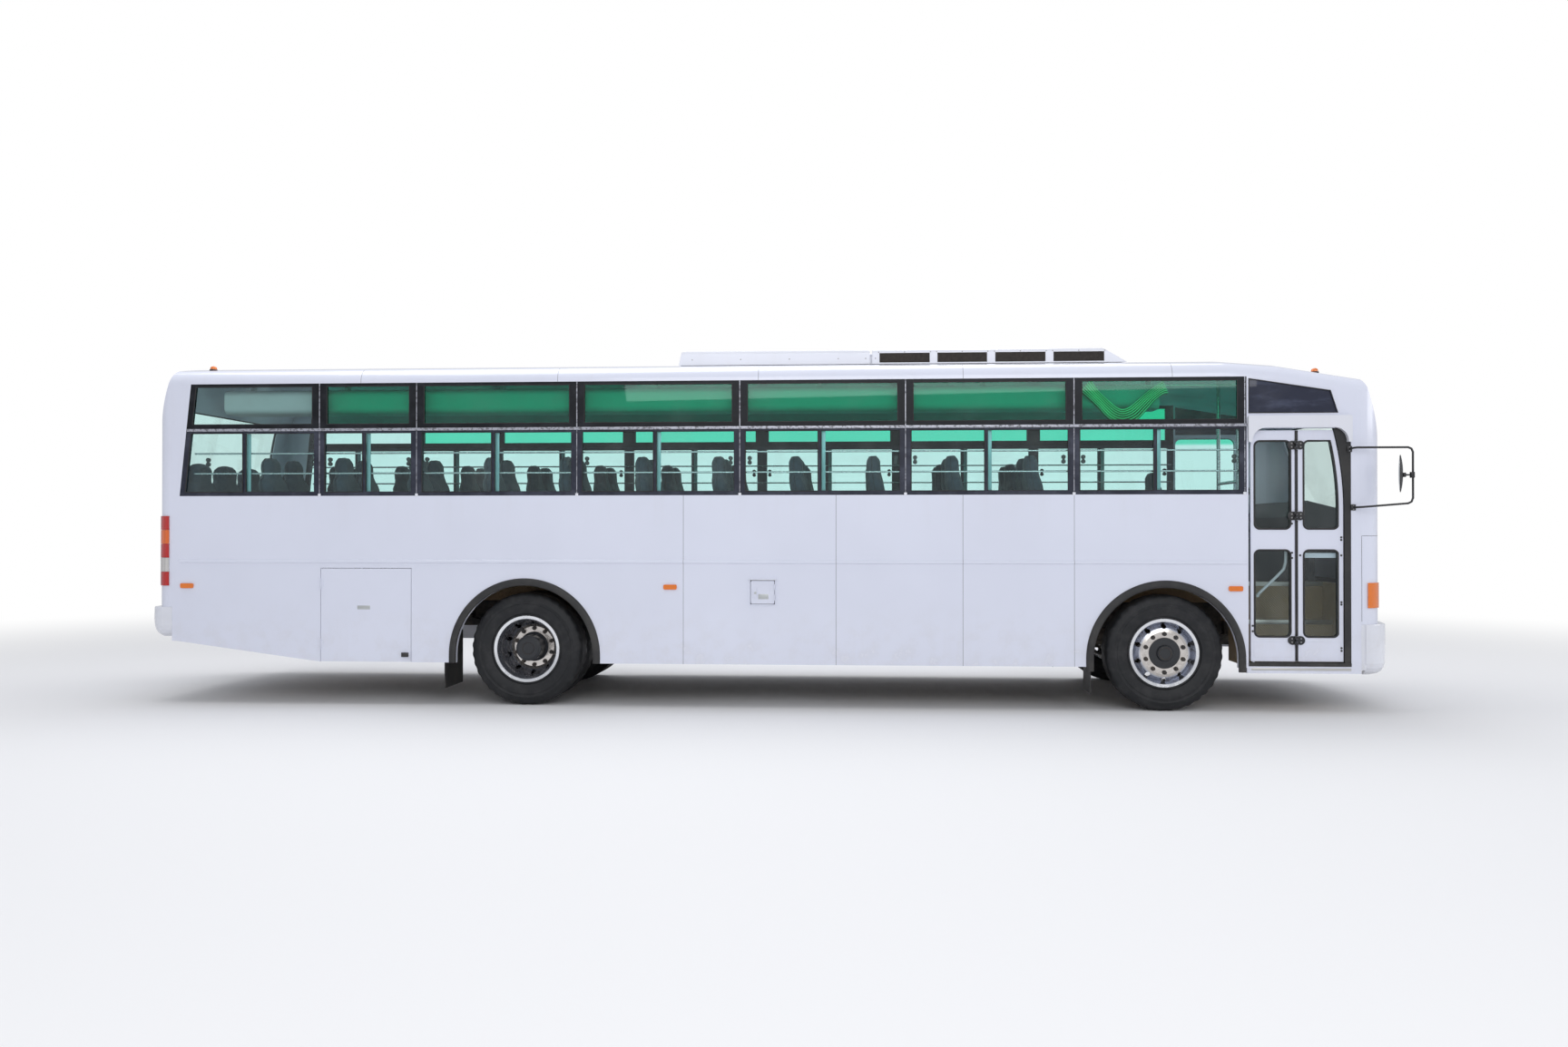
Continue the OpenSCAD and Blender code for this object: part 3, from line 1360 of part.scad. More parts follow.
// Door leaves of a jack-knife door: pivot shaft on the rear leaf, hinges between
leaf_a0 = wheelbase + leaf_x0;
hinge_x = leaf_a0 + leaf_w;
leaf_a1 = hinge_x - hinge_gap;
leaf_b0 = hinge_x + hinge_gap;
leaf_b1 = hinge_x + leaf_w + hinge_gap;
pivot_x = leaf_a0 + pivot_in;
leaf_in_y = leaf_y - leaf_t_door;
pivot_y = -leaf_y + leaf_t_door / 2;
pin_y = -leaf_y - hinge_out;
pane_side = 32;
win_upper = [1586, 2345];
win_lower = [655, 1402];
lead_r = 2800;
lead_z = 1750;
lobe_r = hinge_h / 2;
barrel_r = 10;
module leading_edge_2d(x, d) {
  intersection() {
    square_at([leaf_a0 - 300, 0], [x - d, roof_z]);
    union() {
      translate([x - lead_r, lead_z]) circle(lead_r - d, $fn = 360);
      square_at([leaf_a0 - 300, 0], [x, lead_z]);
    }
  }
}
module leaf_panes_2d(x0, x1, gap) {
  for (w = [win_upper, win_lower]) {
    rounded_2d([x0 + pane_side + gap, w[0] + gap], [x1 - pane_side - gap, w[1] - gap], 44);
  }
}
module hinge_plate(s, zs) {
  for (z = hinge_zs) {
    from_side(-leaf_y - 8, -leaf_y + 1) intersection() {
      translate([hinge_x + s * (hinge_gap + 20), z]) circle(lobe_r);
      square_at([hinge_x + min(0, s * 90) + (s > 0 ? 2 : 0), z - 50], [hinge_x + max(0, s * 90) - (s > 0 ? 0 : 2), z + 50]);
    }
    for (k = zs) {
      rod_z(hinge_x, pin_y, z + k.x, z + k.y, barrel_r);
      block([hinge_x + min(s * 4, s * 20), pin_y - 5, z + k.x], [hinge_x + max(s * 4, s * 20), -leaf_y - 7, z + k.y]);
    }
  }
}
outer_thirds = [[-lobe_r, -lobe_r / 3 - 1], [lobe_r / 3 + 1, lobe_r]];
middle_third = [[-lobe_r / 3 + 1, lobe_r / 3 - 1]];
module door_rear_leaf() {
  placed() color("white") {
    from_side(-leaf_y, -leaf_in_y) difference() {
      square_at([leaf_a0, leaf_z0], [leaf_a1, leaf_z1]);
      leaf_panes_2d(leaf_a0, leaf_a1, 0);
    }
    hinge_plate(-1, outer_thirds);
    for (z = hinge_zs) {
      rod_z(hinge_x, pin_y, z - lobe_r - 1, z + lobe_r + 1, 4);
    }
    rod_z(pivot_x, pivot_y, leaf_z1 - 1, door_head_z - fit, 11);
    rod_z(pivot_x, pivot_y, entry_z + fit, leaf_z0 + 1, 11);
  }
}
module door_front_leaf() {
  placed() color("white") difference() {
    union() {
      from_side(-leaf_y, -leaf_in_y) difference() {
        intersection() {
          square_at([leaf_b0, leaf_z0], [leaf_b1, leaf_z1]);
          leading_edge_2d(leaf_b1, 0);
        }
        intersection() {
          leaf_panes_2d(leaf_b0 + 18, leaf_b1 - 8, 0);
          leading_edge_2d(leaf_b1, 44);
        }
      }
      hinge_plate(1, middle_third);
      block([hinge_x - hinge_gap + 3, -leaf_y + 4, leaf_z0], [leaf_b0 + 1, -leaf_in_y - 4, leaf_z1]);
    }
    for (z = hinge_zs) {
      rod_z(hinge_x, pin_y, z - lobe_r, z + lobe_r, 4.1);
    }
  }
}
module door_glass_rear() {
  placed() color("lightcyan", 0.4) from_side(pivot_y - glass_t / 2, pivot_y + glass_t / 2)
    leaf_panes_2d(leaf_a0, leaf_a1, fit);
}
module door_glass_front() {
  placed() color("lightcyan", 0.4) from_side(pivot_y - glass_t / 2, pivot_y + glass_t / 2) intersection() {
    leaf_panes_2d(leaf_b0 + 18, leaf_b1 - 8, fit);
    leading_edge_2d(leaf_b1, 44 + fit);
  }
}

// Black seal on the front post and the strip under the leaves
module door_seals() {
  placed() color("#1c1c1e") {
    from_side(-half_w + 4, -wall_in) difference() {
      square_at([leaf_b1 - 120, entry_z], [door_op[1], door_head_z]);
      leading_edge_2d(leaf_b1 + 6, 0);
    }
    block([door_op[0], -half_w - 4, entry_z - 32], [door_op[1], -wall_in, entry_z]);
  }
}

// Steering knuckles on the king pins
stub_r = 32;
stub_y = front_tyre_y - 50;
arm_back = 300;
arm_z = tyre_r - 110;
arm_h = 28;
link_pin_r = 9;
ear_gap = 1;
ear_h = 38;
module knuckle() {
  kx = wheelbase;
  ear_lo = tyre_r - boss_h / 2 - ear_gap;
  ear_hi = tyre_r + boss_h / 2 + ear_gap;
  web_y = king_y + boss_r + 3;
  for (z = [ear_lo - ear_h, ear_hi]) {
    rod_z(kx, king_y, z, z + ear_h, boss_r - 2);
    block([kx - 34, king_y, z], [kx + 34, web_y + 19, z + ear_h]);
  }
  rod_z(kx, king_y, ear_lo - 1, ear_hi + 1, pin_r - 0.05);
  block([kx - 34, web_y, ear_lo - ear_h], [kx + 34, web_y + 19, ear_hi + ear_h]);
  rod_y(kx, web_y + 7, stub_y, tyre_r, stub_r);
  block([kx - arm_back, king_y - 16, arm_z - arm_h / 2], [kx, king_y + 16, arm_z + arm_h / 2]);
  rod_z(kx, king_y, arm_z - arm_h / 2, ear_lo - ear_h / 2, boss_r - 8);
  rod_z(kx - arm_back, king_y, arm_z - arm_h / 2, arm_z + arm_h / 2, 26);
  rod_z(kx - arm_back, king_y, arm_z - 56, arm_z, link_pin_r);
}
module knuckle_right() placed() color("dimgray") mirror([0, 1, 0]) knuckle();
module knuckle_left() placed() color("dimgray") knuckle();

// Tie rod between the steering arms, its left eye with play round the pin
rod_r = 18;
eye_r = 24;
module tie_rod() {
  x = wheelbase - arm_back;
  z = arm_z - 36;
  placed() color("dimgray") difference() {
    union() {
      rod_y(x, -king_y, king_y, z, rod_r);
      both_sides() rod_z(x, king_y, z - 20, z + 20, eye_r);
    }
    rod_z(x, -king_y, z - 30, z + 30, link_pin_r + 0.05);
    rod_z(x, king_y, z - 30, z + 30, link_pin_r + 1);
  }
}

// Tyre section in plan: bead, sidewall, shoulder and tread
module tyre_2d(y) {
  h = tyre_w / 2;
  translate([0, y]) polygon([
    [bead_r, -h * 0.72], [bead_r + 26, -h * 0.82], [bead_r + 100, -h], [tyre_r - 60, -h * 0.96], [tyre_r - 14, -h * 0.84],
    [tyre_r, -h * 0.66], [tyre_r, h * 0.66], [tyre_r - 14, h * 0.84], [tyre_r - 60, h * 0.96], [bead_r + 100, h],
    [bead_r + 26, h * 0.82], [bead_r, h * 0.72]]);
}
module wheel_turn(x) translate([x, 0, tyre_r]) rotate([-90, 0, 0]) rotate_extrude() children();
front_mid_y = front_tyre_y - tyre_w / 2;
rear_mid_y = rear_tyre_y - tyre_w / 2;
flange_r = 298;
rim_t = 11;
// Rim barrel with its flanges, centred at y
module barrel_2d(y) {
  h = tyre_w / 2 * 0.72;
  translate([0, y]) polygon([
    [bead_r - rim_t, -h + 8], [bead_r - fit, -h - fit], [flange_r, -h - 12], [flange_r + 3, -h - 11],
    [flange_r, -h - 18], [bead_r - rim_t - 4, -h - 14], [bead_r - rim_t - 26, -h + 40],
    [bead_r - rim_t - 26, h - 40], [bead_r - rim_t - 4, h + 14], [flange_r, h + 18], [flange_r + 3, h + 11],
    [flange_r, h + 12], [bead_r - fit, h + fit], [bead_r - rim_t, h - 8], [bead_r - rim_t - 12, h - 44],
    [bead_r - rim_t - 12, -h + 44]]);
}
hand_holes = 10;
hub_r = 135;
face_off = 118;
disc_t = 12;
module front_wheel_disc() {
  face = front_mid_y + face_off;
  difference() {
    wheel_turn(wheelbase) polygon([
      [hub_r - 1, face - disc_t], [180, face - disc_t], [212, face - 24], [236, face - 60], [256, face - 92],
      [256, face - 72], [246, face - 50], [218, face - 10], [184, face], [hub_r - 1, face]]);
    hand_hole_ring(wheelbase, 231, 21);
  }
}
module hand_hole_ring(x, r, hole_r) {
  for (i = [0:hand_holes - 1]) {
    translate([x, 500, tyre_r]) rotate([0, i * 360 / hand_holes, 0])
      translate([0, 0, r]) rotate([-90, 0, 0]) cylinder(h = 800, r = hole_r);
  }
}
module rim_front() {
  face = front_mid_y + face_off;
  wheel_turn(wheelbase) barrel_2d(front_mid_y);
  front_wheel_disc();
  wheel_turn(wheelbase) polygon([
    [stub_r + fit, front_mid_y - 70], [70, front_mid_y - 70], [70, face - 50], [hub_r, face - 40], [hub_r, face + 6],
    [72, face + 10], [64, face + 34], [0, face + 34], [0, stub_y + 4], [stub_r + fit, stub_y + 4]]);
  wheel_turn(wheelbase) polygon([
    [hub_r - 20, face - 42], [206, face - 60], [206, king_y + boss_r + 40], [198, king_y + boss_r + 40],
    [198, face - 66], [hub_r - 20, face - 50]]);
}
module tyre_front_right() placed() color("#202020") mirror([0, 1, 0]) wheel_turn(wheelbase) tyre_2d(front_mid_y);
module tyre_front_left() placed() color("#202020") wheel_turn(wheelbase) tyre_2d(front_mid_y);
module rim_front_right() placed() color("silver") mirror([0, 1, 0]) rim_front();
module rim_front_left() placed() color("silver") rim_front();

// Twin rear wheels with their hub and drum on each side
inner_mid_y = rear_mid_y - twin_pitch;
axle_end_r = 44;
module rims_rear() {
  mid = (rear_mid_y + inner_mid_y) / 2;
  wheel_turn(0) barrel_2d(rear_mid_y);
  wheel_turn(0) barrel_2d(inner_mid_y);
  difference() {
    wheel_turn(0) polygon([
      [hub_r - 1, mid - disc_t], [184, mid - disc_t], [220, mid - disc_t - 22], [238, mid - 74], [256, mid - 112],
      [256, mid - 92], [232, mid - 60], [216, mid], [232, mid + 60], [256, mid + 92], [256, mid + 112],
      [238, mid + 74], [220, mid + disc_t + 22], [184, mid + disc_t], [hub_r - 1, mid + disc_t]]);
    hand_hole_ring(0, 231, 19);
  }
  wheel_turn(0) polygon([
    [axle_end_r + fit, mid - 60], [hub_r, mid - 60], [hub_r, mid + 30], [114, mid + 44], [114, rear_nose_y - 14],
    [92, rear_nose_y], [0, rear_nose_y], [0, spindle_y + 4], [axle_end_r + fit, spindle_y + 4]]);
  wheel_turn(0) polygon([
    [hub_r - 20, mid - 40], [205, mid - 56], [205, mid - 230], [196, mid - 230], [196, mid - 64], [hub_r - 20, mid - 50]]);
}
module tyres_rear() {
  wheel_turn(0) tyre_2d(rear_mid_y);
  wheel_turn(0) tyre_2d(inner_mid_y);
}
module tyres_rear_right() placed() color("#202020") mirror([0, 1, 0]) tyres_rear();
module tyres_rear_left() placed() color("#202020") tyres_rear();
module rims_rear_right() placed() color("silver") mirror([0, 1, 0]) rims_rear();
module rims_rear_left() placed() color("silver") rims_rear();

chassis_frame();
engine_block();
propshaft();
front_axle();
rear_axle();
leaf_springs();
fuel_tank();
air_tanks();
exhaust();
floor();
stepwell();
locker_box();
side_right();
side_right_front();
side_left();
door_surround();
driver_side_panel();
window_frames();
side_glass();
roof();
front_mask();
windscreen();
rear_end();
rear_glass();
front_bumper();
rear_bumper();
arch_trims();
mudflaps();
head_lamps();
tail_lamps();
marker_lamps();
door_canopy();
door_seals();
ac_unit();
mirrors();
interior_rails();
ducts();
passenger_seats();
rear_bench();
driver_seat();
dashboard();
engine_cover();
hand_wheel();
door_rear_leaf();
door_glass_rear();
door_front_leaf();
door_glass_front();
locker_flap();
fuel_flap();
knuckle_right();
knuckle_left();
tie_rod();
tyre_front_right();
rim_front_right();
tyre_front_left();
rim_front_left();
tyres_rear_right();
rims_rear_right();
tyres_rear_left();
rims_rear_left();
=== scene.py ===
"""Finish of an airport passenger bus: every surface, and the small pieces that its frame carries.

Metres, +X to the front, +Y to the driver's side, +Z up. The entrance door is at -Y.
"""
import math

import bmesh
import bpy
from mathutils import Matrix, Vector


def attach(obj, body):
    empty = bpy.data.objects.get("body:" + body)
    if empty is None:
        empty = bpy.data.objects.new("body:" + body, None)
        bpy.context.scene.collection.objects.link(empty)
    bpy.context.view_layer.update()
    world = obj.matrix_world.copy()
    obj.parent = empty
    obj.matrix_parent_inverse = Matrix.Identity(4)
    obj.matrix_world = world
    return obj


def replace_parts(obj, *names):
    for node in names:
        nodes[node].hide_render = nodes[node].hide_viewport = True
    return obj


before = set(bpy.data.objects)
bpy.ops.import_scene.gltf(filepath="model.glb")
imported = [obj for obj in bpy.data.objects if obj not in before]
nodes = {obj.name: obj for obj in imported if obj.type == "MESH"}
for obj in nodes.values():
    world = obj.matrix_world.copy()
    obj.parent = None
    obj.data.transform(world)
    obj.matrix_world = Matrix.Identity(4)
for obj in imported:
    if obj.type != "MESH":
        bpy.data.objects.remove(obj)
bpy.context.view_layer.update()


# Studio: a pale floor that fades into a white room, a large soft lamp overhead
# and two weaker ones, seen from where the bus was photographed: level with the
# window sills, twelve metres from its door side.
CAMERA_AT, CAMERA_TURN, CAMERA_TILT = (0.9105, -11.998, 1.570), 3.555, 0.34
LENS_MM, FILM_MM = 28.0, 36.0
ROOM_GLOW, WHITE = 0.62, (1.0, 1.0, 1.0, 1.0)
FLOOR_NEAR, FLOOR_FAR, FLOOR_REACH = 7.0, 17.0, 90.0
FLOOR_TONE = (0.80, 0.80, 0.81, 1.0)


def feed(slot, value):
    """Link a socket to a wire, or set it to a plain value."""
    if isinstance(value, Wire):
        slot.id_data.links.new(value.socket, slot)
    else:
        slot.default_value = value


class Wire:
    """A shader value. Sums written on it add Math nodes to its tree."""

    def __init__(self, socket):
        self.socket = socket

    def maths(self, operation, *values):
        node = self.socket.id_data.nodes.new("ShaderNodeMath")
        node.operation = operation
        for slot, value in zip(node.inputs, values):
            feed(slot, value)
        return Wire(node.outputs[0])

    def of(self, operation, *others):
        return self.maths(operation, self, *others)

    def __add__(self, other):
        return self.maths("ADD", self, other)

    def __sub__(self, other):
        return self.maths("SUBTRACT", self, other)

    def __mul__(self, other):
        return self.maths("MULTIPLY", self, other)

    def __pow__(self, other):
        return self.maths("POWER", self, other)


class Finish:
    """A material on Object coordinates. add() makes any node, the rest are its usual combinations."""

    def __init__(self, name, **plain):
        self.material = bpy.data.materials.new(name)
        self.material.use_nodes = True
        self.nodes = self.material.node_tree.nodes
        self.shader = self.nodes["Principled BSDF"]
        self.place = self.add("TexCoord", output="Object")
        split = self.add("SeparateXYZ", inputs={"Vector": self.place}).socket.node
        self.x, self.y, self.z = (Wire(out) for out in split.outputs)
        self.set(**plain)

    def add(self, kind, settings=None, inputs=None, output=0):
        node = self.nodes.new("ShaderNode" + kind)
        for key, value in (settings or {}).items():
            setattr(node, key, value)
        for key, value in (inputs or {}).items():
            feed(node.inputs[key], value)
        return Wire(node.outputs[output])

    def set(self, **sockets):
        for key, value in sockets.items():
            feed(self.shader.inputs[key.replace("_", " ")], value)

    def noise(self, scale, detail=3.0, rough=0.55, at=None):
        inputs = {"Scale": scale, "Detail": detail, "Roughness": rough, "Vector": at or self.place}
        return self.add("TexNoise", inputs=inputs)

    def stretched(self, x, y, z):
        return self.add("Mapping", inputs={"Vector": self.place, "Scale": (x, y, z)})

    def band(self, value, low, high, to_low=0.0, to_high=1.0):
        settings = {"interpolation_type": "SMOOTHSTEP"}
        inputs = {"Value": value, "From Min": low, "From Max": high, "To Min": to_low, "To Max": to_high}
        return self.add("MapRange", settings, inputs)

    def mix(self, share, low, high):
        return self.add("Mix", {"data_type": "RGBA"}, {0: share, 6: low, 7: high}, 2)

    def bump(self, height, distance, strength):
        inputs = {"Height": height, "Distance": distance, "Strength": strength}
        self.set(Normal=self.add("Bump", inputs=inputs))


def blended(name, pattern, one, other, rough=None, relief=None, **plain):
    """A finish whose colour, roughness and relief follow one pattern on its surface."""
    finish = Finish(name, **plain)
    share = pattern(finish)
    finish.set(Base_Color=finish.mix(share, one, other))
    if rough:
        least, more = rough
        finish.set(Roughness=share * more + least)
    if relief:
        finish.bump(share, *relief)
    return finish


def link(obj):
    """Put an object in the scene."""
    bpy.context.scene.collection.objects.link(obj)
    return obj


def mesh_piece(name, verts, faces, finish, smooth=False):
    """A closed mesh with outward faces, at the origin, with one material."""
    mesh = bpy.data.meshes.new(name)
    mesh.from_pydata([tuple(v) for v in verts], [], faces)
    work = bmesh.new()
    work.from_mesh(mesh)
    bmesh.ops.remove_doubles(work, verts=work.verts, dist=1e-6)
    bmesh.ops.recalc_face_normals(work, faces=work.faces)
    work.to_mesh(mesh)
    work.free()
    mesh.materials.append(finish.material)
    for polygon in mesh.polygons:
        polygon.use_smooth = smooth
    return link(bpy.data.objects.new(name, mesh))


def turned(radius, count, start=0.0):
    """Pairs of coordinates evenly round a circle, from start steps past its first point."""
    turns = [2 * math.pi * (k + start) / count for k in range(count)]
    return [(radius * math.cos(a), radius * math.sin(a)) for a in turns]


floor = Finish("studio_floor", Roughness=0.9)
reach = (floor.x * floor.x + floor.y * floor.y) ** 0.5
speckle = floor.band(floor.noise(60.0), 0.3, 0.7, 0.97, 1.0)
floor.set(Base_Color=floor.mix(speckle, (0.72, 0.72, 0.73, 1.0), FLOOR_TONE))
seen = floor.add("LightPath", output="Is Camera Ray")
lit = floor.add("Emission", inputs={"Color": WHITE, "Strength": 1.0})
fade = floor.band(reach, FLOOR_NEAR, FLOOR_FAR) * seen
shown = floor.add("MixShader", inputs={0: fade, 1: Wire(floor.shader.outputs[0]), 2: lit})
feed(floor.nodes["Material Output"].inputs["Surface"], shown)
ring = [(x, y, 0.0) for x, y in turned(FLOOR_REACH, 72)]
ground = mesh_piece("studio_floor", ring, [range(len(ring))], floor)
if ground.data.polygons[0].normal.z < 0:
    ground.data.flip_normals()

world = bpy.data.worlds.new("white_room")
bpy.context.scene.world = world
world.use_nodes = True
tree = world.node_tree
lamp_side = tree.nodes["Background"]
lamp_side.inputs["Color"].default_value = (0.93, 0.95, 1.0, 1.0)
lamp_side.inputs["Strength"].default_value = ROOM_GLOW
paths = tree.nodes.new("ShaderNodeLightPath")
backdrop = tree.nodes.new("ShaderNodeBackground")
backdrop.inputs["Color"].default_value = WHITE
room = tree.nodes.new("ShaderNodeMixShader")
seen_or_passed = Wire(paths.outputs["Is Camera Ray"]) + Wire(paths.outputs["Is Transmission Ray"])
feed(room.inputs[0], seen_or_passed.of("MINIMUM", 1.0))
tree.links.new(lamp_side.outputs[0], room.inputs[1])
tree.links.new(backdrop.outputs[0], room.inputs[2])
tree.links.new(room.outputs[0], tree.nodes["World Output"].inputs["Surface"])

LAMPS = [  # name, place, aims at, width, depth, watts
    ("overhead", (-1.0, 1.5, 10.0), (0.0, 0.0, 0.0), 15.0, 7.0, 820.0),
    ("door_side", (2.0, -13.0, 6.5), (0.0, 0.0, 1.2), 12.0, 5.0, 420.0),
    ("front_end", (13.0, -3.0, 5.0), (3.0, 0.0, 1.5), 5.0, 4.0, 160.0),
]
for name, place, target, width, depth, watts in LAMPS:
    lamp = bpy.data.lights.new(name, "AREA")
    lamp.shape, lamp.size, lamp.size_y, lamp.energy = "RECTANGLE", width, depth, watts
    stand = link(bpy.data.objects.new(name, lamp))
    stand.location = place
    stand.rotation_euler = (Vector(target) - Vector(place)).to_track_quat("-Z", "Y").to_euler()

bpy.context.scene.view_settings.view_transform = "Standard"
lens = bpy.data.cameras.new("camera")
lens.lens, lens.sensor_width, lens.clip_end = LENS_MM, FILM_MM, 300.0
camera = link(bpy.data.objects.new("camera", lens))
camera.location = CAMERA_AT
camera.rotation_euler = (math.radians(90.0 + CAMERA_TILT), 0.0, math.radians(CAMERA_TURN))
bpy.context.scene.camera = camera


# Chassis: pressed steel rails, cross members, axle beam, springs and shafts
# in black chassis paint. Road dust lies on it, thicker towards the ground.
REAR_X, FRONT_X = -2.0855, 3.5545
HUB_Z = 0.505
SPRING_Y, SPRING_W, U_BOLT_R = 0.485, 0.070, 0.008
SPRING_SEATS = ((REAR_X, 0.583, 0.179), (FRONT_X, 0.460, 0.150))  # axle, height, drop to the nuts
RAIL_SIDE, RAIL_RIVET_Z = 0.431, (0.72, 0.85)
RIVETS_FROM, RIVET_PITCH, RIVETS = -5.15, 0.25, 42


def dress(finish, *names):
    """Give nodes of the frame one finish all over."""
    for name in names:
        for place in nodes[name].material_slots:
            place.material = finish.material


def dusty(name, paint, dust, most, grain=170.0, **plain):
    """Paint or rubber with dust in patches, more of it low down."""
    finish = Finish(name, **plain)
    patches = finish.band(finish.noise(5.0, 5.0, 0.62), 0.38, 0.72)
    low = finish.band(finish.z, 1.3, 0.1, 0.35, 1.0)
    cover = patches * low * most
    finish.set(Base_Color=finish.mix(cover, paint, dust), Roughness=cover * 0.4 + plain["Roughness"])
    finish.bump(finish.noise(grain, 2.0), 0.0005, 0.6)
    return finish


SAND = (0.42, 0.36, 0.28, 1.0)
chassis_black = dusty("chassis_black", (0.022, 0.022, 0.024, 1.0), SAND, 0.55, Roughness=0.45)
dress(chassis_black, "chassis_frame", "engine_block", "propshaft", "front_axle", "rear_axle",
      "leaf_springs", "knuckle_right", "knuckle_left", "tie_rod")


def grow(name, base, tree, values, body):
    """Run a Geometry Nodes tree on a base mesh and keep its result as a piece that rides on a body."""
    obj = link(bpy.data.objects.new(name, base))
    work = obj.modifiers.new("grow", "NODES")
    work.node_group = tree
    for socket in tree.interface.items_tree:
        if socket.in_out == "INPUT" and socket.name in values:
            work[socket.identifier] = values[socket.name]
    depsgraph = bpy.context.evaluated_depsgraph_get()
    final = bpy.data.meshes.new_from_object(obj.evaluated_get(depsgraph))
    obj.modifiers.clear()
    obj.data = final
    final.name = name
    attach(obj, body)
    return obj


class Tree:
    """A Geometry Nodes tree with named inputs."""

    def __init__(self, name, **inputs):
        self.group = bpy.data.node_groups.new(name, "GeometryNodeTree")
        face = self.group.interface
        face.new_socket("Geometry", in_out="OUTPUT", socket_type="NodeSocketGeometry")
        face.new_socket("Geometry", in_out="INPUT", socket_type="NodeSocketGeometry")
        for key, kind in inputs.items():
            face.new_socket(key, in_out="INPUT", socket_type="NodeSocket" + kind)
        self.start = self.group.nodes.new("NodeGroupInput")
        self.end = self.group.nodes.new("NodeGroupOutput")

    def given(self, name):
        return self.start.outputs[name]

    def node(self, kind, settings=None, inputs=None):
        node = self.group.nodes.new(kind)
        for key, value in (settings or {}).items():
            setattr(node, key, value)
        for key, value in (inputs or {}).items():
            if isinstance(value, bpy.types.NodeSocket):
                self.group.links.new(value, node.inputs[key])
            else:
                node.inputs[key].default_value = value
        return node.outputs[0]

    def finish(self, geometry, smooth=False):
        shaded = self.node("GeometryNodeSetShadeSmooth", inputs={0: geometry, "Shade Smooth": smooth})
        whole = self.node("GeometryNodeRealizeInstances", inputs={0: shaded})
        coated = self.node("GeometryNodeSetMaterial", inputs={0: whole, "Material": self.given("Finish")})
        self.group.links.new(coated, self.end.inputs[0])
        return self.group


# A tube that follows drawn lines, bent from one length and capped at its ends
pipe = Tree("pipe", Radius="Float", Sides="Int", Finish="Material")
line = pipe.node("GeometryNodeMeshToCurve", inputs={0: pipe.given("Geometry")})
disc = {"Resolution": pipe.given("Sides"), "Radius": pipe.given("Radius")}
disc = pipe.node("GeometryNodeCurvePrimitiveCircle", inputs=disc)
swept = pipe.node("GeometryNodeCurveToMesh", inputs={0: line, "Profile Curve": disc, "Fill Caps": True})
pipe_tree = pipe.finish(swept, smooth=True)


def drawn(paths, closed=False):
    """A mesh of bare edges along paths of points."""
    verts, edges = [], []
    for path in paths:
        first = len(verts)
        verts += [tuple(p) for p in path]
        edges += [(first + i, first + i + 1) for i in range(len(path) - 1)]
        if closed:
            edges.append((len(verts) - 1, first))
    mesh = bpy.data.meshes.new("drawn")
    mesh.from_pydata(verts, edges, [])
    return mesh


def tubes(name, paths, radius, finish, body="body", sides=10, closed=False):
    """One tube along each path."""
    values = {"Radius": radius, "Sides": sides, "Finish": finish.material}
    return grow(name, drawn(paths, closed), pipe_tree, values, body)


# Screws, nuts and rivets: a low prism or disc on each marked spot, facing out
stud = Tree("stud", Radius="Float", Height="Float", Sides="Int", Finish="Material")
head = {"Vertices": stud.given("Sides"), "Radius": stud.given("Radius"), "Depth": stud.given("Height")}
head = stud.node("GeometryNodeMeshCylinder", inputs=head)
facing = stud.node("GeometryNodeInputNamedAttribute", {"data_type": "FLOAT_VECTOR"}, {"Name": "facing"})
aligned = stud.node("FunctionNodeAlignRotationToVector", {"axis": "Z"}, {"Vector": facing})
seated = {"Points": stud.given("Geometry"), "Instance": head, "Rotation": aligned}
seated = stud.node("GeometryNodeInstanceOnPoints", inputs=seated)
stud_tree = stud.finish(seated)


def studs(name, spots, radius, height, sides, finish, body="body"):
    """spots are (point on the surface, direction it faces); a stud's middle lies on the surface."""
    mesh = drawn([[Vector(p)] for p, _ in spots])
    facing = mesh.attributes.new("facing", "FLOAT_VECTOR", "POINT")
    for item, (_, way) in zip(facing.data, spots):
        item.vector = way
    values = {"Radius": radius, "Height": height, "Sides": sides, "Finish": finish.material}
    grow(name, mesh, stud_tree, values, body)


bolt_steel = dusty("bolt_steel", (0.30, 0.30, 0.31, 1.0), SAND, 0.5, Roughness=0.4, Metallic=0.9)
u_bolts, u_nuts = [], []
for axle_x, seat_z, drop in SPRING_SEATS:
    low, top = seat_z - drop, seat_z + 0.085
    for side in (-1, 1):
        a, b = [side * (SPRING_Y + s * (SPRING_W / 2 + U_BOLT_R + 0.001)) for s in (-1, 1)]
        for x in (axle_x - 0.075, axle_x + 0.075):
            u_bolts.append([(x, a, low), (x, a, top - 0.015), (x, a * 0.75 + b * 0.25, top),
                            (x, a * 0.25 + b * 0.75, top), (x, b, top - 0.015), (x, b, low)])
            u_nuts += [((x, y, low + 0.012), (0, 0, 1)) for y in (a, b)]
tubes("spring_u_bolts", u_bolts, U_BOLT_R, bolt_steel)
studs("spring_nuts", u_nuts, 0.016, 0.018, 6, bolt_steel)
rail_rivets = [((RIVETS_FROM + i * RIVET_PITCH, side * RAIL_SIDE, z), (0, side, 0))
               for i in range(RIVETS) for side in (-1, 1) for z in RAIL_RIVET_Z]
studs("rail_rivets", rail_rivets, 0.011, 0.010, 10, chassis_black)


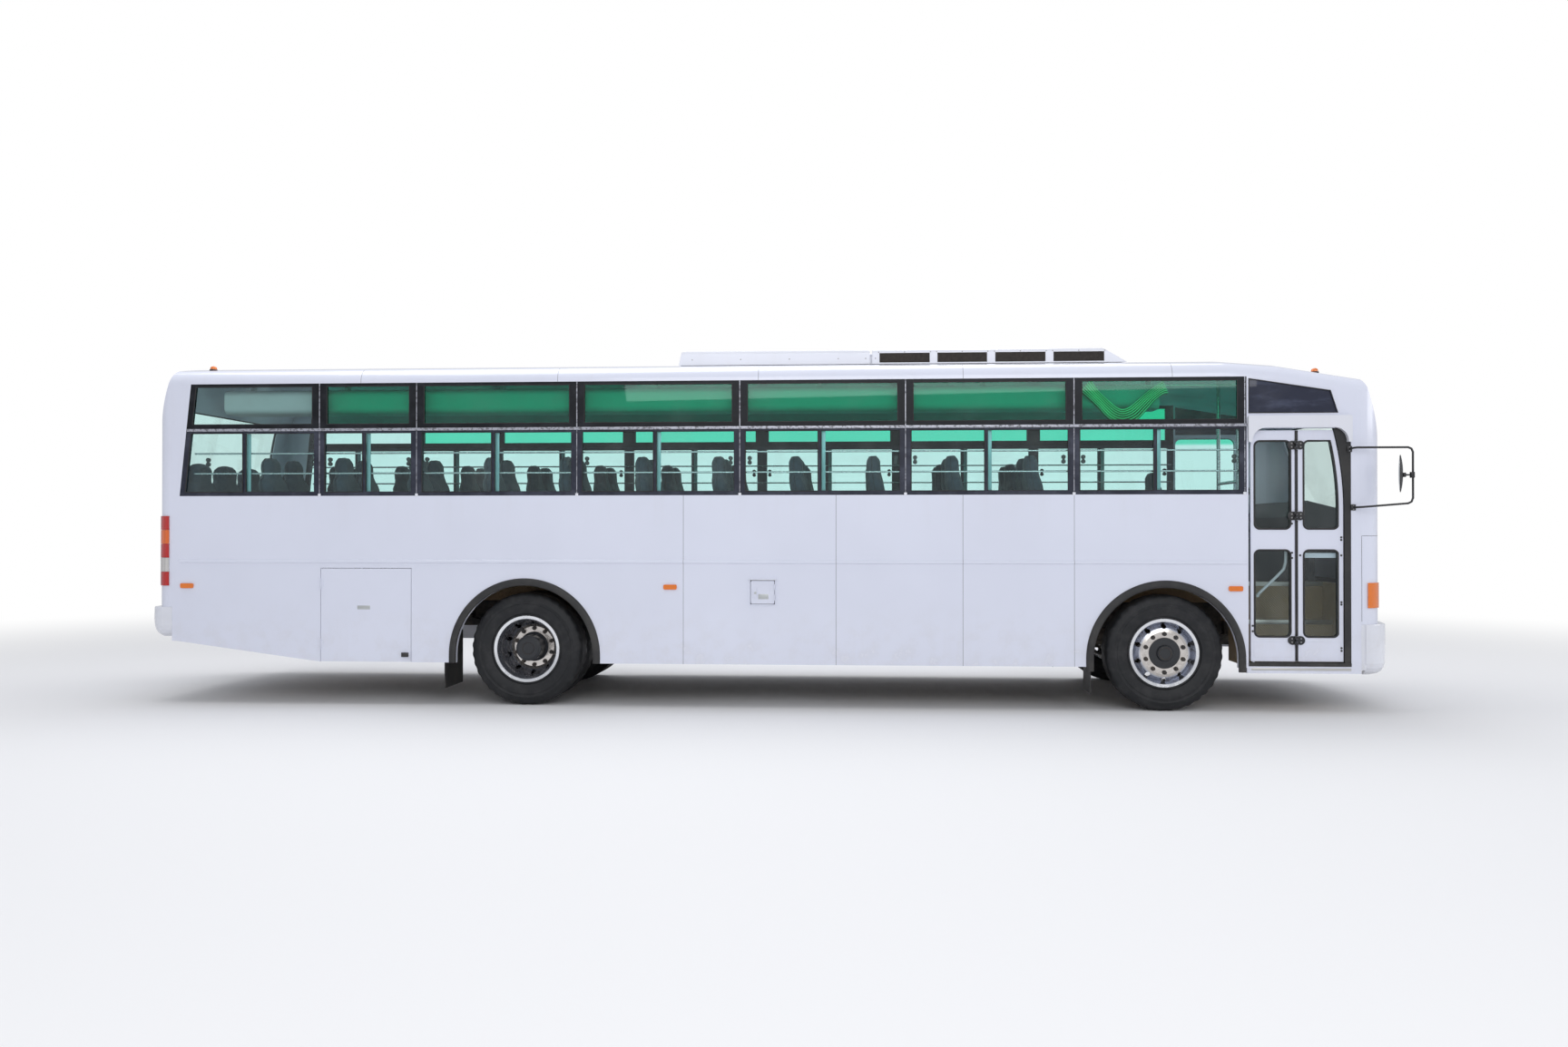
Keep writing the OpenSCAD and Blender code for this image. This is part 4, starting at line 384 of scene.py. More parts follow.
# Tanks and silencer: the fuel tank of bare aluminium with steel straps, the
# air tanks in grey paint, the silencer of steel that heat has browned.
SILENCER_Y, SILENCER_Z, BAND_TURN, BAND_R = 0.80, 0.64, 0.1325, 0.006
tank_metal = blended("tank_metal", lambda f: f.band(f.noise(3.0, 5.0), 0.3, 0.7), (0.50, 0.50, 0.51, 1.0),
                     (0.36, 0.34, 0.31, 1.0), rough=(0.32, 0.25), Metallic=0.85, Roughness=0.38)
tank_metal.bump(tank_metal.noise(1.0, 2.0, 0.5, tank_metal.stretched(3.0, 220.0, 220.0)), 0.0002, 0.5)
dress(tank_metal, "fuel_tank", "locker_box")
tank_grey = dusty("tank_grey", (0.16, 0.17, 0.18, 1.0), SAND, 0.5, Roughness=0.42)
dress(tank_grey, "air_tanks")
hot_steel = blended("hot_steel", lambda f: f.band(f.noise(4.0, 6.0, 0.6), 0.32, 0.7), (0.30, 0.24, 0.19, 1.0),
                    (0.16, 0.09, 0.06, 1.0), rough=(0.4, 0.35), Metallic=0.7)
hot_steel.bump(hot_steel.noise(90.0, 4.0), 0.0006, 0.7)
dress(hot_steel, "exhaust")
bands = [[(x, SILENCER_Y + v, SILENCER_Z + u) for u, v in turned(BAND_TURN, 30)]
         for x in (1.60, 1.80, 2.13, 2.24)]
tubes("silencer_bands", bands, BAND_R, hot_steel, closed=True)


# Floor and entrance steps: plywood sheets covered with tan vinyl that is
# pressed in small diamonds, with an aluminium nosing screwed to each edge.
STEP_X, STEP_EDGES = (4.2245, 5.1515), ((-0.800, 0.767), (-0.565, 1.100))
SHARP = 0.6  # radians between two faces


def vinyl(name, colour, worn, cell):
    """Sheet with raised diamonds, worn in patches."""
    finish = Finish(name, Roughness=0.55)
    slope_a = (finish.x + finish.y + finish.z) * (math.pi / cell)
    slope_b = (finish.x - finish.y + finish.z) * (math.pi / cell)
    studs_up = (slope_a.of("SINE") * slope_b.of("SINE")).of("ABSOLUTE")
    trodden = finish.band(finish.noise(2.4, 5.0, 0.6), 0.42, 0.7)
    finish.set(Base_Color=finish.mix(trodden * 0.6, colour, worn), Roughness=trodden * 0.2 + 0.45)
    finish.bump(finish.band(studs_up, 0.15, 0.5), 0.0012, 0.9)
    return finish


floor_vinyl = vinyl("floor_vinyl", (0.34, 0.24, 0.13, 1.0), (0.22, 0.16, 0.10, 1.0), 0.022)
dress(floor_vinyl, "floor", "stepwell")
nosing_metal = blended("nosing_metal", lambda f: f.noise(1.0, 3.0, 0.6, f.stretched(6.0, 160.0, 160.0)),
                       (0.52, 0.51, 0.49, 1.0), (0.72, 0.71, 0.69, 1.0), rough=(0.2, 0.3),
                       relief=(0.0004, 0.6), Metallic=1.0, Roughness=0.3)


def box_mesh(lo, hi):
    """Corners and faces of an upright box."""
    corners = [(x, y, z) for x in (lo[0], hi[0]) for y in (lo[1], hi[1]) for z in (lo[2], hi[2])]
    return corners, [(0, 1, 3, 2), (4, 6, 7, 5), (0, 4, 5, 1), (2, 3, 7, 6), (0, 2, 6, 4), (1, 5, 7, 3)]


def boxes(name, parts, finish, body="body", bevel=0.0):
    """Several boxes in one piece, with rounded edges where bevel is given."""
    verts, faces = [], []
    for lo, hi in parts:
        corners, sides = box_mesh(lo, hi)
        faces += [tuple(len(verts) + i for i in side) for side in sides]
        verts += corners
    edged(mesh_piece(name, verts, faces, finish), body, bevel)


def edged(obj, body, bevel=0.0):
    """Round a piece's edges where bevel is given, then let it ride on its body."""
    if bevel:
        work = bmesh.new()
        work.from_mesh(obj.data)
        sharp = [edge for edge in work.edges if len(edge.link_faces) == 2 and edge.calc_face_angle() > SHARP]
        bmesh.ops.bevel(work, geom=sharp, offset=bevel, segments=2, profile=0.5, affect="EDGES",
                        clamp_overlap=True)
        work.to_mesh(obj.data)
        work.free()
        for polygon in obj.data.polygons:
            polygon.use_smooth = True
        obj.data.set_sharp_from_angle(angle=SHARP)
    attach(obj, body)


nosings, nose_screws = [], []
for y, z in STEP_EDGES:
    lo, hi = STEP_X[0] + 0.02, STEP_X[1] - 0.02
    nosings.append(((lo, y - 0.003, z - 0.036), (hi, y, z + 0.002)))
    nosings.append(((lo, y - 0.003, z), (hi, y + 0.035, z + 0.0025)))
    nose_screws += [((lo + 0.06 + i * 0.153, y + 0.018, z + 0.0025), (0, 0, 1)) for i in range(6)]
boxes("step_nosings", nosings, nosing_metal, bevel=0.0008)
studs("nosing_screws", nose_screws, 0.0055, 0.0025, 12, nosing_metal)


# Body skin: steel side panels, moulded front and rear ends and the roof in
# white enamel, with a bluish-lilac tint painted in as sky shade. The panels
# are a little wavy, their seams show as fine lines, and road film gathers
# above the skirt and under the drip strip.
SIDE_SEAMS, ROOF_SEAMS = (1.433, 2.787, 3.897, 4.860), (-1.5, 0.3, 2.1, 3.9, 5.7)
SEAM_HALF = 0.003
SEAM_DARK, ROAD_FILM = (0.16, 0.16, 0.17, 1.0), (0.50, 0.46, 0.40, 1.0)


def seam_lines(finish, places):
    """1 on the fine upright lines at some distances from the rear axle."""
    first, *others = [(finish.x - (REAR_X + place)).of("ABSOLUTE") for place in places]
    for away in others:
        first = first.of("MINIMUM", away)
    return finish.band(first, SEAM_HALF * 0.5, SEAM_HALF, 1.0, 0.0)


# The default base colour is white with a bluish-lilac tint painted in as sky shade.
def enamel(name, base=(0.74, 0.765, 0.88, 1.0), seams=(), film=0.16, wave=0.0012):
    """White enamel whose bluish-lilac tint is painted sky shade, with seams, run marks, splashes above the
    skirt and a slow wave in its surface.
    """
    finish = Finish(name, Coat_Roughness=0.08, Specular_IOR_Level=0.5)
    shade = finish.band(finish.noise(0.8, 3.0), 0.3, 0.7)
    paint = finish.mix(shade, base, tuple(c * 0.965 for c in base[:3]) + (1.0,))
    runs = finish.band(finish.noise(1.0, 4.0, 0.6, finish.stretched(9.0, 9.0, 0.7)), 0.48, 0.78)
    low = finish.band(finish.z, 1.05, 0.36)
    under_drip = finish.band(finish.z, 1.45, 1.86) * 0.05
    splash = finish.band(finish.noise(7.0, 6.0, 0.62), 0.40, 0.72)
    dirt = (low * splash * film + runs * (low * film * 0.5 + under_drip)).of("MINIMUM", 1.0)
    colour = finish.mix(dirt, paint, ROAD_FILM)
    height = finish.noise(1.6, 2.0, 0.4)
    if seams:
        gap = seam_lines(finish, seams)
        colour = finish.mix(gap * 0.75, colour, SEAM_DARK)
        height = height - gap * 0.5
    finish.set(Base_Color=colour, Roughness=dirt * 0.45 + 0.22, Coat_Weight=dirt * -0.6 + 0.7)
    finish.bump(height, wave, 0.55)
    return finish


enamel_side = enamel("enamel_side", seams=SIDE_SEAMS)
enamel_plain = enamel("enamel_plain")
enamel_roof = enamel("enamel_roof", seams=ROOF_SEAMS, film=0.1)
# The moulded parts' base colour is white with a bluish tint painted in as sky shade.
moulded = enamel("moulded", base=(0.76, 0.775, 0.84, 1.0), wave=0.0008)
dress(enamel_side, "side_right", "side_right_front", "side_left")
dress(enamel_plain, "door_surround", "driver_side_panel", "front_mask", "rear_end", "locker_flap",
      "fuel_flap", "door_rear_leaf", "door_front_leaf")
dress(enamel_roof, "roof")
dress(moulded, "front_bumper", "rear_bumper", "door_canopy", "ac_unit")


# Side panel fittings: the locker flap's small blank plate and turn handle, and
# the fuel flap's rain lip, blank plate and lock, all screwed or riveted on.
PLATE_X, PLATE_Z, PLATE_THICK = (-1.529, -1.411), (0.861, 0.895), 0.0015
LATCH_BASE, LATCH_GRIP = (-1.115, -1.050, 0.436, 0.476), (-1.108, -1.058, 0.444, 0.468)
plate_grey = blended("plate_grey", lambda f: f.noise(1.0, 3.0, 0.6, f.stretched(8.0, 8.0, 260.0)),
                     (0.42, 0.44, 0.44, 1.0), (0.58, 0.60, 0.60, 1.0), rough=(0.32, 0.2),
                     relief=(0.0002, 0.5), Metallic=0.6, Roughness=0.42)


def meet(node, start, way):
    """The point where a line from start meets a node, and the way its surface faces there."""
    depsgraph = bpy.context.evaluated_depsgraph_get()
    hit, point, normal, _ = nodes[node].ray_cast(Vector(start), Vector(way), depsgraph=depsgraph)
    assert hit, "nothing met on " + node
    return point, normal


def on_side(x0, x1, z0, z1, thick, node="side_right"):
    """A slab lying on the door side's skin, sunk in by a millimetre; x counts from the rear axle."""
    point, _ = meet(node, (REAR_X + (x0 + x1) / 2, -2.0, (z0 + z1) / 2), (0.0, 1.0, 0.0))
    return (REAR_X + x0, point.y - thick, z0), (REAR_X + x1, point.y + 0.001, z1)


boxes("data_plate", [on_side(*PLATE_X, *PLATE_Z, PLATE_THICK, "locker_flap")], plate_grey,
      body="locker_lid", bevel=0.0006)
plate_ends = []
for x in (PLATE_X[0] + 0.006, PLATE_X[1] - 0.006):
    point, _ = meet("locker_flap", (REAR_X + x, -2.0, sum(PLATE_Z) / 2), (0, 1, 0))
    plate_ends.append((point - Vector((0, PLATE_THICK, 0)), (0, -1, 0)))
studs("data_plate_rivets", plate_ends, 0.0022, 0.002, 10, plate_grey, body="locker_lid")
latch_black = dusty("latch_black", (0.022, 0.022, 0.024, 1.0), SAND, 0.1, Roughness=0.4)
boxes("locker_latch", [on_side(*LATCH_BASE, 0.016, "locker_flap"),
                       on_side(*LATCH_GRIP, 0.024, "locker_flap")],
      latch_black, body="locker_lid", bevel=0.004)
boxes("fuel_rain_lip", [on_side(2.016, 2.262, 1.134, 1.142, 0.012)], moulded, bevel=0.002)
lock_at, _ = meet("fuel_flap", (REAR_X + 2.075, -2.0, 1.02), (0, 1, 0))
studs("fuel_lock", [(lock_at, (0, -1, 0))], 0.011, 0.006, 20, plate_grey, body="fuel_lid")
boxes("fuel_label", [on_side(2.10, 2.19, 0.965, 1.010, 0.0008, "fuel_flap")], plate_grey, body="fuel_lid",
      bevel=0.0003)


# Window band: black frames on the body with glass in rubber. The upper panes
# are tinted green, the sliding lower ones nearly clear, each 5 mm thick.
BAYS = (-3.130, -1.883, -0.986, 0.475, 1.936, 3.397, 4.858, 6.319)
SASH_TOP, CANTRAIL = 2.49, 2.552
FRONT_BAY, REAR_BAY = REAR_X + BAYS[-1], REAR_X + BAYS[1]


def glass(name, tint, upper=None, film=0.035):
    """Thin tinted glass that mirrors more at low angles, dulled by dust in patches.

    With upper, the panes above the sashes have that tint, save in the rearmost bay, and the
    quarter panes ahead of the foremost bay are backed with navy paint.
    """
    finish = Finish(name, Roughness=0.05)
    clear = finish.add("BsdfTransparent", inputs={"Color": tint})
    if upper:
        deep = finish.add("BsdfTransparent", inputs={"Color": upper})
        share = finish.band(finish.z, SASH_TOP - 0.02, SASH_TOP + 0.02)
        share = share * finish.band(finish.x, REAR_BAY - 0.01, REAR_BAY + 0.01)
        clear = finish.add("MixShader", inputs={0: share, 1: clear, 2: deep})
        navy = finish.add("BsdfDiffuse", inputs={"Color": (0.022, 0.026, 0.048, 1.0)})
        cloudy = finish.add("BsdfDiffuse", inputs={"Color": (0.075, 0.088, 0.140, 1.0)})
        clouds = finish.band(finish.noise(1.0, 5.0, 0.6, finish.stretched(3.0, 3.0, 9.0)), 0.45, 0.75)
        backed = finish.add("MixShader", inputs={0: clouds * 0.7, 1: navy, 2: cloudy})
        front = finish.band(finish.x, FRONT_BAY + 0.005, FRONT_BAY + 0.012)
        front = front * finish.band(finish.z, CANTRAIL - 0.001, CANTRAIL + 0.001)
        clear = finish.add("MixShader", inputs={0: front, 1: clear, 2: backed})
    mirror = finish.add("BsdfGlossy", inputs={"Color": WHITE, "Roughness": 0.02})
    angle = finish.add("LayerWeight", inputs={"Blend": 0.35}, output="Facing")
    share = angle ** 3.0 * 0.75 + 0.035  # mirrored: a little head on, most at the rim
    bare = finish.add("MixShader", inputs={0: share, 1: clear, 2: mirror})
    dust = finish.add("BsdfDiffuse", inputs={"Color": (0.55, 0.56, 0.55, 1.0)})
    patches = finish.band(finish.noise(3.0, 6.0, 0.6), 0.45, 0.8) * film
    coated = finish.add("MixShader", inputs={0: patches, 1: bare, 2: dust})
    feed(finish.nodes["Material Output"].inputs["Surface"], coated)
    return finish


side_glazing = glass("side_glazing", (0.85, 0.965, 0.955, 1.0), upper=(0.34, 0.87, 0.73, 1.0))
clear_glazing = glass("clear_glazing", (0.90, 0.95, 0.94, 1.0), film=0.05)
dress(side_glazing, "side_glass")
dress(clear_glazing, "windscreen", "rear_glass", "door_glass_rear", "door_glass_front")

frame_black = Finish("frame_black", Roughness=0.42, Specular_IOR_Level=0.25)
chalk = frame_black.band(frame_black.noise(6.0, 6.0, 0.65), 0.40, 0.75)
sliding = frame_black.band(frame_black.z, 2.48, 2.485, 1.0, 0.0)
gloss = frame_black.mix(chalk, (0.006, 0.007, 0.010, 1.0), (0.020, 0.022, 0.028, 1.0))
matt = frame_black.mix(chalk, (0.024, 0.027, 0.042, 1.0), (0.058, 0.064, 0.090, 1.0))
frame_black.set(Base_Color=frame_black.mix(sliding, gloss, matt))
frame_black.set(Roughness=chalk * 0.25 + 0.32)
frame_black.bump(frame_black.noise(220.0, 2.0), 0.0003, 0.5)
dress(frame_black, "window_frames")

rubber = dusty("rubber", (0.018, 0.018, 0.019, 1.0), (0.24, 0.22, 0.19, 1.0), 0.15, Roughness=0.55)
dress(rubber, "arch_trims", "mudflaps", "door_seals")
plastic_black = dusty("plastic_black", (0.020, 0.020, 0.022, 1.0), (0.20, 0.19, 0.17, 1.0), 0.2,
                      Roughness=0.38)
dress(plastic_black, "mirrors", "hand_wheel")


def outlines(name, way):
    """Closed paths round a node's faces that look one way, on that side of the bus."""
    way = Vector(way)
    work = bmesh.new()
    work.from_mesh(nodes[name].data)
    bmesh.ops.remove_doubles(work, verts=work.verts, dist=1e-5)
    work.normal_update()
    facing = {face for face in work.faces
              if face.normal.dot(way) > 0.75 and face.calc_center_median().dot(way) > 0}
    after = {}
    for face in facing:
        for loop in face.loops:
            if sum(other in facing for other in loop.edge.link_faces) == 1:
                after[loop.vert] = loop.link_loop_next.vert
    paths = []
    while after:
        start, path = next(iter(after)), []
        step = start
        while step in after:
            path.append(step.co.copy())
            step = after.pop(step)
        path = [p for i, p in enumerate(path) if (p - path[i - 1]).length > 0.004]
        if len(path) > 2:
            paths.append(path)
    work.free()
    return paths


def gaskets(name, node, way, out, radius, body="body"):
    """Round rubber on the edge of each pane, standing out by a length."""
    paths = [[p + Vector(way) * out for p in path] for path in outlines(node, way)]
    tubes(name, paths, radius, rubber, body, sides=8, closed=True)


for side, way in (("right", (0.0, -1.0, 0.0)), ("left", (0.0, 1.0, 0.0))):
    gaskets("side_gaskets_" + side, "side_glass", way, 0.0095, 0.006)
gaskets("windscreen_gasket", "windscreen", (1.0, 0.0, 0.0), 0.002, 0.011)
gaskets("rear_window_gasket", "rear_glass", (-1.0, 0.0, 0.0), 0.002, 0.011)


# Joint strips and the drip strip of pale anodised metal. The paint on them has
# chipped where the frames meet the sill.
SKIN_Y, DRIP_X, LAST_JOINT = 1.250, (-3.116, 6.329), 6.313
DRIP_Z, UPPER_Z, SASH_Z, FOOT_Z = (2.4705, 2.4955), (2.4965, 2.902), (1.905, 2.468), (1.878, 1.905)
pale_metal = blended("pale_metal", lambda f: f.band(f.noise(38.0, 5.0, 0.7), 0.50, 0.56),
                     (0.46, 0.47, 0.53, 1.0), (0.20, 0.20, 0.22, 1.0), rough=(0.34, 0.3),
                     relief=(0.0004, 0.7), Metallic=0.55, Roughness=0.4)


def slab(side, x0, x1, out0, out1, z0, z1):
    """An upright box on one side of the bus; x counts from the rear axle, out from the middle."""
    ys = sorted((side * out0, side * out1))
    return (REAR_X + x0, ys[0], z0), (REAR_X + x1, ys[1], z1)


strips, joints, feet = [], [], []
for side in (-1, 1):
    strips.append(slab(side, *DRIP_X, SKIN_Y, SKIN_Y + 0.0155, *DRIP_Z))
    for x in BAYS[1:]:
        at = min(x, LAST_JOINT)
        joints.append(slab(side, at - 0.004, at + 0.004, SKIN_Y - 0.0010, SKIN_Y + 0.0015, *UPPER_Z))
        joints.append(slab(side, at - 0.003, at + 0.003, SKIN_Y - 0.0010, SKIN_Y + 0.0012, *SASH_Z))
        feet.append(slab(side, at - 0.013, at + 0.013, SKIN_Y - 0.0020, SKIN_Y + 0.0030, *FOOT_Z))
boxes("drip_strips", strips, pale_metal, bevel=0.003)
boxes("frame_joints", joints, pale_metal)
boxes("joint_feet", feet, moulded, bevel=0.002)


# Sliding windows: where the two panes of a bay pass each other, the front one
# has a pale pull profile. Two-lobed black catches hold them at each end.
STILES = (-2.585, -1.471, -0.288, 1.176, 2.642, 4.098, 5.553)
SASH_Y, CATCH_IN, LAST_CATCH_IN = 1.2245, 0.085, 0.19
PULL_Z, CATCH_Z, KNOB_Z = (1.924, 2.450), (2.165, 2.225), (2.175, 2.215)
pull_teal = blended("pull_teal", lambda f: f.noise(1.0, 3.0, 0.6, f.stretched(60.0, 60.0, 2.0)),
                    (0.22, 0.40, 0.42, 1.0), (0.36, 0.55, 0.56, 1.0), rough=(0.22, 0.2),
                    Roughness=0.3, Metallic=0.3)
pulls, catches, knobs = [], [], []
for side in (-1, 1):
    for i, x in enumerate(STILES):
        pulls.append(slab(side, x + 0.014, x + 0.052, SASH_Y - 0.0055, SASH_Y + 0.0015, *PULL_Z))
        for end in (BAYS[i] + (CATCH_IN if i else LAST_CATCH_IN), BAYS[i + 1] - CATCH_IN):
            knobs += [((REAR_X + end, side * (SASH_Y - 0.012), z), (0, side, 0)) for z in KNOB_Z]
            catches.append(slab(side, end - 0.011, end + 0.011, SASH_Y - 0.016, SASH_Y, *CATCH_Z))
boxes("sash_pulls", pulls, pull_teal, bevel=0.002)
boxes("sash_catches", catches, plastic_black, bevel=0.004)
studs("sash_catch_knobs", knobs, 0.019, 0.022, 16, plastic_black)


# Air conditioner: two moulded housings bolted along the roof, with expanded
# metal over the side grilles and four fans in wells on the front one.
AC_TOP, AC_HALF, MESH_PITCH = 3.232, 0.800, 0.013
GRILLES = ((3.178, 3.633), (3.706, 4.153), (4.230, 4.679), (4.754, 5.205))
GRILLE_Z, HOUSING_SCREWS, SCREW_Z = (3.112, 3.196), (1.45, 1.90, 2.35, 2.80, 3.05, 3.14), 3.150
mesh_dark = blended("mesh_dark", lambda f: f.noise(30.0, 4.0), (0.030, 0.026, 0.024, 1.0),
                    (0.085, 0.072, 0.062, 1.0), Metallic=0.5, Roughness=0.5)
backs, wires, edges, fasteners = [], [], [], []
tall = GRILLE_Z[1] - GRILLE_Z[0]
for side in (-1, 1):
    wall, wire_y = side * AC_HALF, side * (AC_HALF - 0.003)
    for x0, x1 in GRILLES:
        lo, hi = REAR_X + x0, REAR_X + x1
        backs.append(slab(side, x0, x1, AC_HALF - 0.0085, AC_HALF - 0.006, *GRILLE_Z))
        for k in range(int((hi - lo + tall) / MESH_PITCH)):
            start = lo - tall + k * MESH_PITCH
            low, top = max(0.0, lo - start), min(tall, hi - start)
            if top - low > 0.004:
                for from_z, to_z in ((low, top), (tall - low, tall - top)):
                    wires.append([(start + low, wire_y, GRILLE_Z[0] + from_z),
                                  (start + top, wire_y, GRILLE_Z[0] + to_z)])
        edges.append([(lo, wall, GRILLE_Z[0]), (hi, wall, GRILLE_Z[0]),
                      (hi, wall, GRILLE_Z[1]), (lo, wall, GRILLE_Z[1])])
        fasteners += [((x, wall, GRILLE_Z[1] + 0.010), (0, side, 0))
                      for x in (lo - 0.008, (lo + hi) / 2, hi + 0.008)]
    fasteners += [((REAR_X + x, wall, SCREW_Z), (0, side, 0)) for x in HOUSING_SCREWS]
boxes("condenser_backs", backs, mesh_dark)
tubes("condenser_mesh", wires, 0.0011, mesh_dark, sides=4)
tubes("condenser_mesh_edges", edges, 0.0022, mesh_dark, sides=6, closed=True)
studs("housing_screws", fasteners, 0.0055, 0.004, 12, bolt_steel)


# Fans: seven swept blades of sheet metal in each well, under a guard of wire
# rings welded to four cross wires that are clipped to the well's edge.
FANS, FAN_R, WELL_Z = [REAR_X + 3.400 + i * 0.500 for i in range(4)], 0.205, AC_TOP - 0.058
BLADE = ((0.058, 0.0), (0.110, 0.08), (0.160, 0.20), (0.196, 0.34))  # radius, sweep
BLADE_EDGES, BLADE_THICK, BLADES = ((-0.21, 0.016), (0.21, 0.040)), 0.003, 7  # edges: lead, height
GUARD_RINGS, CROSS_WIRES, CROSS_TURN = (0.075, 0.105, 0.135, 0.165, 0.195), 4, 0.3
verts, faces, guards, spokes = [], [], [], []
for fan_x in FANS:
    for k in range(BLADES):
        first = len(verts)
        for r, sweep in BLADE:
            for lead, z in BLADE_EDGES:
                a = 2 * math.pi * k / BLADES + sweep + lead * 0.085 / (r + 0.05)
                for top in (z, z + BLADE_THICK):
                    verts.append((fan_x + r * math.cos(a), r * math.sin(a), WELL_Z + top))
        for step in range(len(BLADE) - 1):
            a, b = first + step * 4, first + step * 4 + 4
            faces += [(a, a + 2, b + 2, b), (a + 1, b + 1, b + 3, a + 3),
                      (a, b, b + 1, a + 1), (a + 2, a + 3, b + 3, b + 2)]
        faces += [(first, first + 1, first + 3, first + 2), (first + 12, first + 14, first + 15, first + 13)]
    for r in GUARD_RINGS:
        guards.append([(fan_x + u, v, AC_TOP - 0.004) for u, v in turned(r, 40)])
    for k in range(CROSS_WIRES):
        a = math.pi * k / CROSS_WIRES + CROSS_TURN
        u, v = (FAN_R - 0.0005) * math.cos(a), (FAN_R - 0.0005) * math.sin(a)
        spokes.append([(fan_x - u, -v, AC_TOP - 0.0075), (fan_x + u, v, AC_TOP - 0.0075)])
edged(mesh_piece("fan_blades", verts, faces, mesh_dark), "body")
tubes("fan_guard_rings", guards, 0.0022, mesh_dark, sides=6, closed=True)
tubes("fan_guard_spokes", spokes, 0.0024, mesh_dark, sides=6)


# Lamps: clear headlamps, stacked tail lamps and amber markers. Each is a
# fluted plastic lens set in the body; two bright bowls show in a headlamp.
RED, ORANGE, CLEAR = (0.52, 0.010, 0.008, 1.0), (0.80, 0.14, 0.010, 1.0), (0.62, 0.60, 0.58, 1.0)
AMBER, LENS_GREY = (0.85, 0.20, 0.015, 1.0), (0.60, 0.62, 0.64, 1.0)
TAIL_Z, TAIL_STEP, BAND_EDGE = 1.071, 0.127, 0.002
BOWL_Y, BOWL_Z, BOWL_R, BULB_R, BOWL_STEPS = (0.752, 0.962), 0.940, 0.076, 0.017, 420.0


def lens_finish(name, bands, flute=0.009, axis="y"):
    """A lamp lens coloured in bands from the bottom up, with fine upright flutes whose troughs are painted
    darker as painted shade.
    """
    finish = Finish(name, Roughness=0.12, Coat_Weight=0.8, Coat_Roughness=0.03)
    colour = bands[0][1]
    for top, upper in bands[1:]:
        colour = finish.mix(finish.band(finish.z, top - BAND_EDGE, top + BAND_EDGE), colour, upper)
    # The colour darkens along each flute's trough as painted shade, following the same ribs as the bump.
    ribs = (getattr(finish, axis) * (2.0 * math.pi / flute)).of("SINE")
    edge = finish.band(ribs, -1.0, 1.0, 0.82, 1.0)
    if isinstance(colour, Wire):
        shaded = finish.add("VectorMath", {"operation": "SCALE"}, {0: colour, "Scale": edge})
    else:
        shaded = finish.mix(edge, tuple(c * 0.7 for c in colour[:3]) + (1.0,), colour)
    finish.set(Base_Color=shaded)
    finish.bump(ribs, 0.0012, 0.6)
    return finish


tail_bands = [(TAIL_Z + i * TAIL_STEP, colour) for i, colour in enumerate((RED, CLEAR, RED, ORANGE, RED))]
dress(lens_finish("tail_lenses", tail_bands), "tail_lamps")
dress(lens_finish("amber_lenses", [(0.0, AMBER)], axis="x"), "marker_lamps")
head_lens = lens_finish("head_lenses", [(0.0, LENS_GREY)], flute=0.012)
away = []
for bowl_y in BOWL_Y:
    dy, dz = head_lens.y.of("ABSOLUTE") - bowl_y, head_lens.z - BOWL_Z
    away.append((dy * dy + dz * dz) ** 0.5)
bowl = away[0].of("MINIMUM", away[1])
inside = head_lens.band(bowl, BOWL_R - 0.002, BOWL_R + 0.002, 1.0, 0.0)
bulb = head_lens.band(bowl, BULB_R - 0.003, BULB_R + 0.003, 1.0, 0.0)
steps = (bowl * BOWL_STEPS).of("SINE")
bright = head_lens.mix(head_lens.band(steps, -1.0, 1.0), (0.62, 0.64, 0.67, 1.0), (0.86, 0.88, 0.90, 1.0))
bright = head_lens.mix(bulb, bright, (0.16, 0.16, 0.17, 1.0))
rim_line = head_lens.band((bowl - (BOWL_R + 0.004)).of("ABSOLUTE"), 0.003, 0.005, 1.0, 0.0)
body_tone = head_lens.mix(rim_line, (0.30, 0.31, 0.33, 1.0), (0.05, 0.05, 0.055, 1.0))
head_lens.set(Base_Color=head_lens.mix(inside, body_tone, bright), Metallic=inside * 0.85,
              Roughness=inside * -0.06 + 0.16)
dress(head_lens, "head_lamps")


# Roof lamps at the corners: an amber plastic dome on a black base, which is
# screwed down to the roof at the back and to the front mask ahead.
LAMP_DOME = ((0.030, 0.000), (0.030, 0.010), (0.027, 0.022), (0.018, 0.030), (0.006, 0.034))
LAMP_BASE, DOME_SIDES = ((0.036, 0.0), (0.036, 0.008), (0.033, 0.011)), 24


def lofted(first, rings, count):
    """Faces that join rings of some corners each, from corner number first on, and close both ends."""
    faces, last = [], first + (rings - 1) * count
    for ring in range(first, last, count):
        for k in range(count):
            a, b = ring + k, ring + (k + 1) % count
            faces.append((a, b, b + count, a + count))
    return faces + [tuple(range(end, end + count)) for end in (first, last)]


def smooth_piece(name, verts, faces, finish, sharp, body):
    """A piece shaded smooth, save over edges sharper than an angle, that rides on its body."""
    piece = mesh_piece(name, verts, faces, finish, smooth=True)
    piece.data.set_sharp_from_angle(angle=sharp)
    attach(piece, body)
    return piece


def domes(name, spots, finish, rings):
    """Upright turned forms standing on spots; rings are radius and height."""
    verts, faces = [], []
    for spot in spots:
        faces += lofted(len(verts), len(rings), DOME_SIDES)
        for r, h in rings:
            verts += [spot + Vector((v, u, h)) for u, v in turned(r, DOME_SIDES)]
    smooth_piece(name, verts, faces, finish, 0.8, "body")


